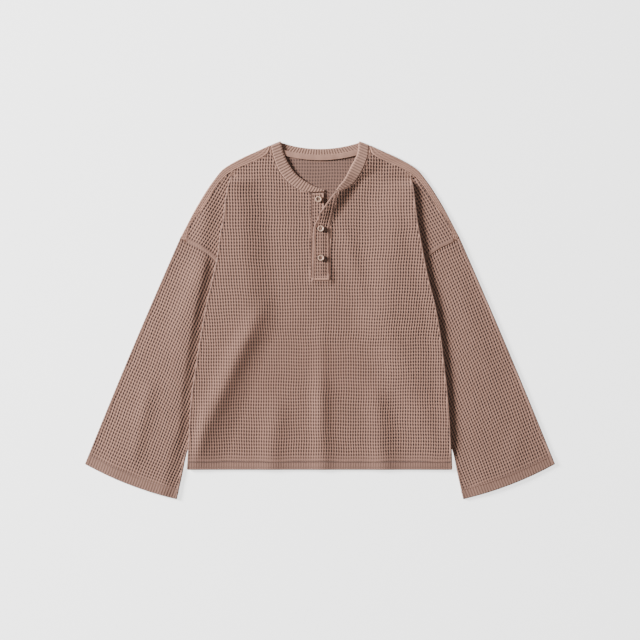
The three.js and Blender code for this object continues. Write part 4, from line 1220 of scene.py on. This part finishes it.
def placket_row(y, j):
    """One row of the top placket: a short stub below, the turn of its left edge, its face and a tuck."""
    right = float(notch_right_x(y)) - SEAM_GAP
    turn = math.pi * min(max((y - ROLL["start"]) / ROLL["turn"], 0), 1)
    skin = FOLD_RADIUS + PLACKET_WALL / 2
    left = float(crest["right"]["out"](y)) + skin * (1 - math.cos(turn)) / 2
    x = np.arange(right, left + 0.4, -PLACKET_STEP)
    x = np.r_[x[1:][::-1], right]
    x = np.r_[left, x[x > left + 0.5]]
    index = np.round((right - x) / PLACKET_STEP).astype(int)
    inside = smooth((np.minimum(x - left, right - x) - PLACKET_EDGE + 1.4) / 1.4)
    pit = pit_share(index, j) * inside
    if y < PLACKET_BOX + 3:
        pit = pit * smooth((y - PLACKET_BOTTOM - 2) / 2)
    z = placket_height(x, np.full(len(x), y)) - PIT_DEPTH * PLACKET_SHARE * pit
    z -= 0.3 * valley(x - left - PLACKET_EDGE, 0.6) + 0.15 * valley(right - x - PLACKET_EDGE, 0.6)
    z -= 0.3 * valley(y - PLACKET_BOX, 0.7)
    # painted shade: the tint follows the cells, and the plain edges take the plain cloth's painted shade
    tint = np.maximum(pit, PLAIN_PAINTED_SHADE * (1 - inside))
    # a dimple round each button on the top placket, with painted shadow in it
    for _, bx, by, on_top in BUTTON_PLACES:
        if on_top:
            near = 1 - smooth((np.hypot(x - bx, y - by) - 5.4) / 3.2)
            z -= 0.5 * near
            tint = np.maximum(tint, 0.85 * near)
    rounding = min(turn / math.pi * 6, 1)
    rolled = turn > 0.05
    wrap = []
    for i in range(1, WRAP_POINTS + 1):
        a, radius = (turn, skin) if rolled else (math.pi / 2, 0.8)
        a = a * i / WRAP_POINTS
        sag = 0.0 if rolled else 0.1 * i * (1 - rounding)
        wrap.append((left - radius * math.sin(a), y, z[0] - radius * (1 - math.cos(a)) - sag))
    past = min(max((y - ROLL["start"] - ROLL["turn"]) / ROLL["run"], 0), 1)
    depth = min(ROLL["depth"], max(0.0, right - left - ROLL["keep"])) * past
    stub = (wrap[-1][0] + max(depth, 0.5), y, wrap[-1][2] - (0.0 if turn > 3 else 0.3))
    tucks = [(right + 0.1, y, z[-1] - 0.8), (right + 0.1, y, z[-1] - 1.6)]
    # painted shade: the stub, the rolled wrap and the tucks take the plain cloth's painted shade
    return {
        "u": np.r_[-1e4 - np.arange(WRAP_POINTS + 1.0)[::-1], -index, 1e4, 1e4 + 1],
        "p": np.vstack([[stub], wrap[::-1], np.column_stack([x, np.full(len(x), y), z]), tucks]),
        "pit": np.r_[np.full(WRAP_POINTS + 1, PLAIN_PAINTED_SHADE), tint, PLAIN_PAINTED_SHADE, PLAIN_PAINTED_SHADE], "j": j,
    }


def placket_sheet():
    ys = np.arange(PLACKET_BOTTOM, PLACKET_TOP, SPACING[1])
    rows = [placket_row(y, j) for j, y in enumerate(ys)]
    foot, head = (
        [moved(row, (0, way * out, -down), TURNED_EDGE_PAINTED_SHADE) for out, down in PLACKET_TURN]
        for way, row in ((-1, rows[0]), (1, rows[-1])))
    return zip_rows(foot[::-1] + rows + head)


placket = make_piece("placket_top_waffle", [placket_sheet()], waffle_cotton)
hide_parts("placket_top")


def under_placket_region(x, y):
    u = UNDER_PLACKET
    return np.minimum(
        np.minimum(x - u["left"], u["right"] - x), np.minimum(u["top"] - y, y - u["bottom"]))


under_rows = knit_rows(
    under_placket_region, lambda s, t: (s + 0 * t, UNDER_PLACKET["bottom"] + t),
    level(FRONT_LAYER + WALL / 2), (-12, 8), (-2, 90), fade=2.5)
under_rows = [
    extend(row, seam_tuck(row, True, -SEAM_LEAN), seam_tuck(row, False, SEAM_LEAN))
    for row in under_rows]
under_rows += [moved(under_rows[-1], (0, out, -down), 0.0) for out, down in UNDER_TURN]
under_placket = make_piece("placket_under_waffle", [zip_rows(under_rows)], waffle_cotton)
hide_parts("placket_under")

# %% [markdown]
# ## Buttons
# The buttons are the usual four hole kind of cast polyester, turned on a lathe: a rounded rim round a
# dished middle. Thread crosses between the holes. Each is lathed as a mesh and its holes are cut by a
# boolean, because holes that are only painted look flat from the side.

# %% Button and thread shapes
BUTTON_RADIUS, BUTTON_THICK, BUTTON_RIM, BUTTON_DISH = 5.7, 2.6, 1.5, 0.9
HOLE_RADIUS, HOLE_OFFSET, BUTTON_SIDES = 0.85, 1.25, 56
# four holes round the middle, and the pairs of them that threads cross between
HOLES = [(1, 1), (-1, 1), (-1, -1), (1, -1)]
CROSSES = [((1, 1), (-1, -1)), ((-1, 1), (1, -1))]

polyester, tree, place = new_material("cast_polyester_button")
swirl = add_node(tree, "ShaderNodeTexNoise", {"Vector": place}, Scale=260.0, Detail=3.0, Distortion=1.2)
tone = blend(tree, swirl.outputs["Fac"], "#AC8873", "#CBA995")
# painted shade in the dish: the button darkens towards its middle, round the holes
dish_painted_shade = add_node(tree, "ShaderNodeAttribute", attribute_name="dish").outputs["Fac"]
shader = add_node(
    tree, "ShaderNodeBsdfPrincipled", {"Base Color": blend(tree, dish_painted_shade, tone, "#4A352C")},
    **{"Roughness": 0.32, "IOR": 1.54, "Subsurface Weight": 0.08, "Subsurface Scale": 0.001})
add_node(tree, "ShaderNodeOutputMaterial", {"Surface": shader.outputs[0]})

thread = cotton("spun_sewing_thread", "#A57C6C", "#815D50", 0.3, bump=0.4)


def lathe(profile, sides=BUTTON_SIDES):
    shape = bmesh.new()
    rings = []
    for radius, height in profile:
        angles = np.linspace(0, 2 * math.pi, sides, endpoint=False) if radius else [0.0]
        rings.append([
            shape.verts.new((radius * MM * math.cos(a), radius * MM * math.sin(a), height * MM))
            for a in angles])
    for low, high in zip(rings, rings[1:]):
        for i in range(sides):
            n = (i + 1) % sides
            corners = [low[i % len(low)], low[n % len(low)], high[n % len(high)], high[i % len(high)]]
            shape.faces.new(list(dict.fromkeys(corners)))
    return shape


def button_profile():
    """Radius and height, from the middle of the underside round the rim to the middle of the dish."""
    r, t = BUTTON_RADIUS, BUTTON_THICK
    rim = [(math.cos(a), math.sin(a)) for a in np.linspace(0, math.pi / 2, 8)]
    dish = [(1.1 * f, BUTTON_DISH * float(smooth(f))) for f in np.linspace(0.1, 1, 7)]
    return [
        (0, 0), (r - 1.3, 0), (r - 0.6, 0.25), (r - 0.12, 0.9),
        *[(r - 0.55 + 0.55 * across, t - 0.95 + 0.95 * up) for across, up in rim],
        (r - 1.1, t - 0.06),
        *[(r - BUTTON_RIM - inwards, t - 0.1 - down) for inwards, down in dish],
        (0, t - BUTTON_DISH - 0.15),
    ]


def thread_run(start, end, radius, arch=0.5):
    """A short length of thread as an arched tube: rings of points for one stitch."""
    start, end = np.array(start, dtype=float), np.array(end, dtype=float)
    way = end - start
    way /= np.linalg.norm(way)
    side = np.cross(way, (0, 0, 1.0))
    side /= np.linalg.norm(side)
    up = np.cross(side, way)
    points = []
    for f in np.linspace(0, 1, 6):
        centre = start + (end - start) * f + np.array([0, 0, arch]) * math.sin(math.pi * f)
        size = radius * (0.6 + 0.4 * math.sin(math.pi * f))
        points += [centre + side * size * math.cos(a) + up * size * math.sin(a)
                   for a in np.linspace(0, 2 * math.pi, 6, endpoint=False)]
    faces = [(r * 6 + i, r * 6 + (i + 1) % 6, (r + 1) * 6 + (i + 1) % 6, (r + 1) * 6 + i)
             for r in range(5) for i in range(6)]
    return np.array(points), np.zeros(len(points)), [face[::-1] for face in faces]


print("A button is", 2 * BUTTON_RADIUS, "mm wide")

# %% The three buttons
def object_of(shape, name):
    """Turns a bmesh into an object in the scene."""
    mesh = bpy.data.meshes.new(name)
    shape.to_mesh(mesh)
    shape.free()
    return add_object(name, mesh)


def hole_cutter():
    shape = bmesh.new()
    for dx, dy in HOLES:
        ring = bmesh.ops.create_cone(
            shape, cap_ends=True, segments=20, radius1=HOLE_RADIUS * MM, radius2=HOLE_RADIUS * MM,
            depth=12 * MM)["verts"]
        bmesh.ops.translate(shape, vec=(dx * HOLE_OFFSET * MM, dy * HOLE_OFFSET * MM, 0), verts=ring)
    return object_of(shape, "hole_cutter")


for name, x, y, on_top in BUTTON_PLACES:
    lies = float(neck_lift("right", x, y + BUTTON_RADIUS)) + PLACKET_WALL / 2 if on_top else WALL / 2
    base = FRONT_LAYER + lies + SEAM_GAP
    made, cutter = object_of(lathe(button_profile()), name + "_cast"), hole_cutter()
    cut = made.modifiers.new("holes", "BOOLEAN")
    cut.object, cut.solver = cutter, "EXACT"
    bpy.context.view_layer.update()
    finished = bpy.data.meshes.new_from_object(made.evaluated_get(bpy.context.evaluated_depsgraph_get()))
    made.modifiers.clear()
    made.data = finished
    bpy.data.objects.remove(cutter)
    from_middle = [math.hypot(v.co.x, v.co.y) / MM for v in finished.vertices]
    # painted shade: a stored share that darkens the dish towards its middle
    dish = [float(0.9 * (1 - smooth((r - 1.6) / 1.8))) for r in from_middle]
    finished.attributes.new("dish", "FLOAT", "POINT").data.foreach_set("value", dish)
    finished.transform(Matrix.Translation((x * MM, (y + Y_SHIFT) * MM, base * MM)))
    finished.materials.clear()
    finished.materials.append(polyester)
    finished.shade_smooth()
    finished.set_sharp_from_angle(angle=math.radians(50))
    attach(made, "root")
    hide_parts(name)
    top = base + BUTTON_THICK - BUTTON_DISH - 0.25
    crossing = []
    for cross in CROSSES:
        a, b = ((x + dx * HOLE_OFFSET, y + dy * HOLE_OFFSET, top) for dx, dy in cross)
        crossing.append(thread_run(a, b, 0.22, arch=0.3 + 0.2 * cross[0][0] * cross[0][1]))
    make_piece(name + "_thread", crossing, thread)
    print(name, "stands", round(base, 2), "mm up")

# %% [markdown]
# ## Sewing
# The stitches on a real hem are about 3 mm long, in thread of the same colour. They show as a fine
# dashed line in a shallow groove, so each stitch here is a short arched piece of thread.

# %% Stitch lines
STITCH, STITCH_GAP, THREAD_RADIUS = 2.6, 0.6, 0.28


def stitches(line, height):
    """Arched threads end to end along a line of points on the table."""
    line = np.array(line, dtype=float)
    run = np.r_[0, np.cumsum(np.linalg.norm(np.diff(line, axis=0), axis=1))]
    made = []
    for begin in np.arange(0.4, run[-1] - STITCH, STITCH + STITCH_GAP):
        ends = []
        for place_on in (begin, begin + STITCH):
            x, y = np.interp(place_on, run, line[:, 0]), np.interp(place_on, run, line[:, 1])
            ends.append((x, y, float(height(x, y)) + 0.05))
        made.append(thread_run(ends[0], ends[1], THREAD_RADIUS, arch=0.22))
    return made


hem_y = HEM_Y + HEM_DEPTH
hem_ends = -float(fold_out["left"](hem_y)) + 3, float(fold_out["right"](hem_y)) - 3
sewn = stitches([(x, hem_y) for x in np.linspace(*hem_ends, 200)], front_face)
for side in SIGN:
    across = np.linspace(4, CUFF_WIDE - 5, 60)
    points = [on_arm(side, s, float(cuff_along(s)) - CUFF_DEPTH) for s in across]
    sewn += stitches(points, partial(sleeve_height, side))


def on_placket(x, y):
    return placket_height(x, y) - 0.25


right_edge = [
    (float(notch_right_x(y)) - SEAM_GAP - PLACKET_EDGE, y) for y in np.linspace(PLACKET_BOX, 226, 60)]
left_edge = [
    (float(crest["right"]["out"](y)) + PLACKET_EDGE, y) for y in np.linspace(PLACKET_BOX, 186, 60)]
foot = [(x, PLACKET_BOX) for x in np.linspace(-8, 14, 30)]
for line in (right_edge, left_edge, foot):
    sewn += stitches(line, on_placket)
make_piece("sewing_thread", sewn, thread)
print(len(sewn), "stitches")

# %% [markdown]
# ## Camera, floor and light
# The photograph looks straight down, so the camera does too. It stands high with a longer lens, as a
# product camera does, which keeps the edges true. The light is broad and soft and comes from the
# left, low enough to model the folds and every cell.

# %% Camera, floor and light
# metres across the frame, lens and sensor in mm, and how far below the pattern's middle it looks
FRAME_WIDE, LENS, SENSOR, LOOKS_LOW = 1.152, 85.0, 36.0, 0.00045
camera_data = bpy.data.cameras.new("overhead_camera")
camera_data.lens, camera_data.sensor_width = LENS, SENSOR
camera = add_object("overhead_camera", camera_data)
camera.location = (0.0, Y_SHIFT * MM - LOOKS_LOW, FRAME_WIDE * LENS / SENSOR)
bpy.context.scene.camera = camera


def soft_light(name, place, size, power):
    data = bpy.data.lights.new(name, "AREA")
    data.shape, data.size, data.energy = "DISK", size, power
    light = add_object(name, data)
    light.location = place
    light.rotation_euler = (-Vector(place)).to_track_quat("-Z", "Y").to_euler()


soft_light("key_left", (-5.2, 1.8, 2.1), 1.8, 1410)
soft_light("fill_above", (0.6, -0.4, 3.4), 2.5, 12)
world = bpy.data.worlds.new("studio")
world.use_nodes = True
world.node_tree.nodes["Background"].inputs["Color"].default_value = linear("#FFFFFF")
world.node_tree.nodes["Background"].inputs["Strength"].default_value = 0.2
bpy.context.scene.world = world

FLOOR_HALF, FLOOR_GAP = 6, 0.0003
paper = bpy.data.materials.new("matt_white_board")
paper.use_nodes = True
board = paper.node_tree.nodes["Principled BSDF"]
board.inputs["Base Color"].default_value = linear("#F6F6F5")
board.inputs["Roughness"].default_value = 0.9
board.inputs["Emission Color"].default_value = linear("#FFFFFF")
board.inputs["Emission Strength"].default_value = 1.8
corners = [(x * FLOOR_HALF, y * FLOOR_HALF, 0) for x, y in ((-1, -1), (1, -1), (1, 1), (-1, 1))]
floor_mesh = bpy.data.meshes.new("studio_floor")
floor_mesh.from_pydata(corners, [], [(0, 1, 2, 3)])
floor_mesh.materials.append(paper)
floor = add_object("studio_floor", floor_mesh)
floor.location = (0, 0, -FLOOR_GAP)

# %% [markdown]
# ## What was cut
# Each panel is a sheet of knit of a known size. The sizes below are those of the cloth that shows,
# measured flat, and all round where the panel is a tube or goes back under itself. A sheet says how
# it is held and what it lies on.


CUTS = {
    "back_waffle": ((0.560, 0.590), 0.212, "laid", []),
    "sleeve_waffle_left": ((0.355, 0.450), 0.136, "laid", []),
    "sleeve_waffle_right": ((0.355, 0.450), 0.136, "laid", []),
    "front_waffle": (
        (0.560, 0.600), 0.287, "folded", ["back_waffle", "sleeve_waffle_left", "sleeve_waffle_right"]),
    "neckband_rib": ((0.410, 0.0195), 0.0079, "laid", ["front_waffle", "back_waffle"]),
    "neck_tape_cotton": ((0.144, 0.0101), None, "laid", ["neckband_rib"]),
    "placket_under_waffle": ((0.0217, 0.1518), None, "laid", ["back_waffle"]),
    "placket_top_waffle": ((0.035, 0.157), None, "folded", ["placket_under_waffle", "front_waffle"]),
}
for name, (flat, area, held, rests_on) in CUTS.items():
    cut = area or round(flat[0] * flat[1], 4)
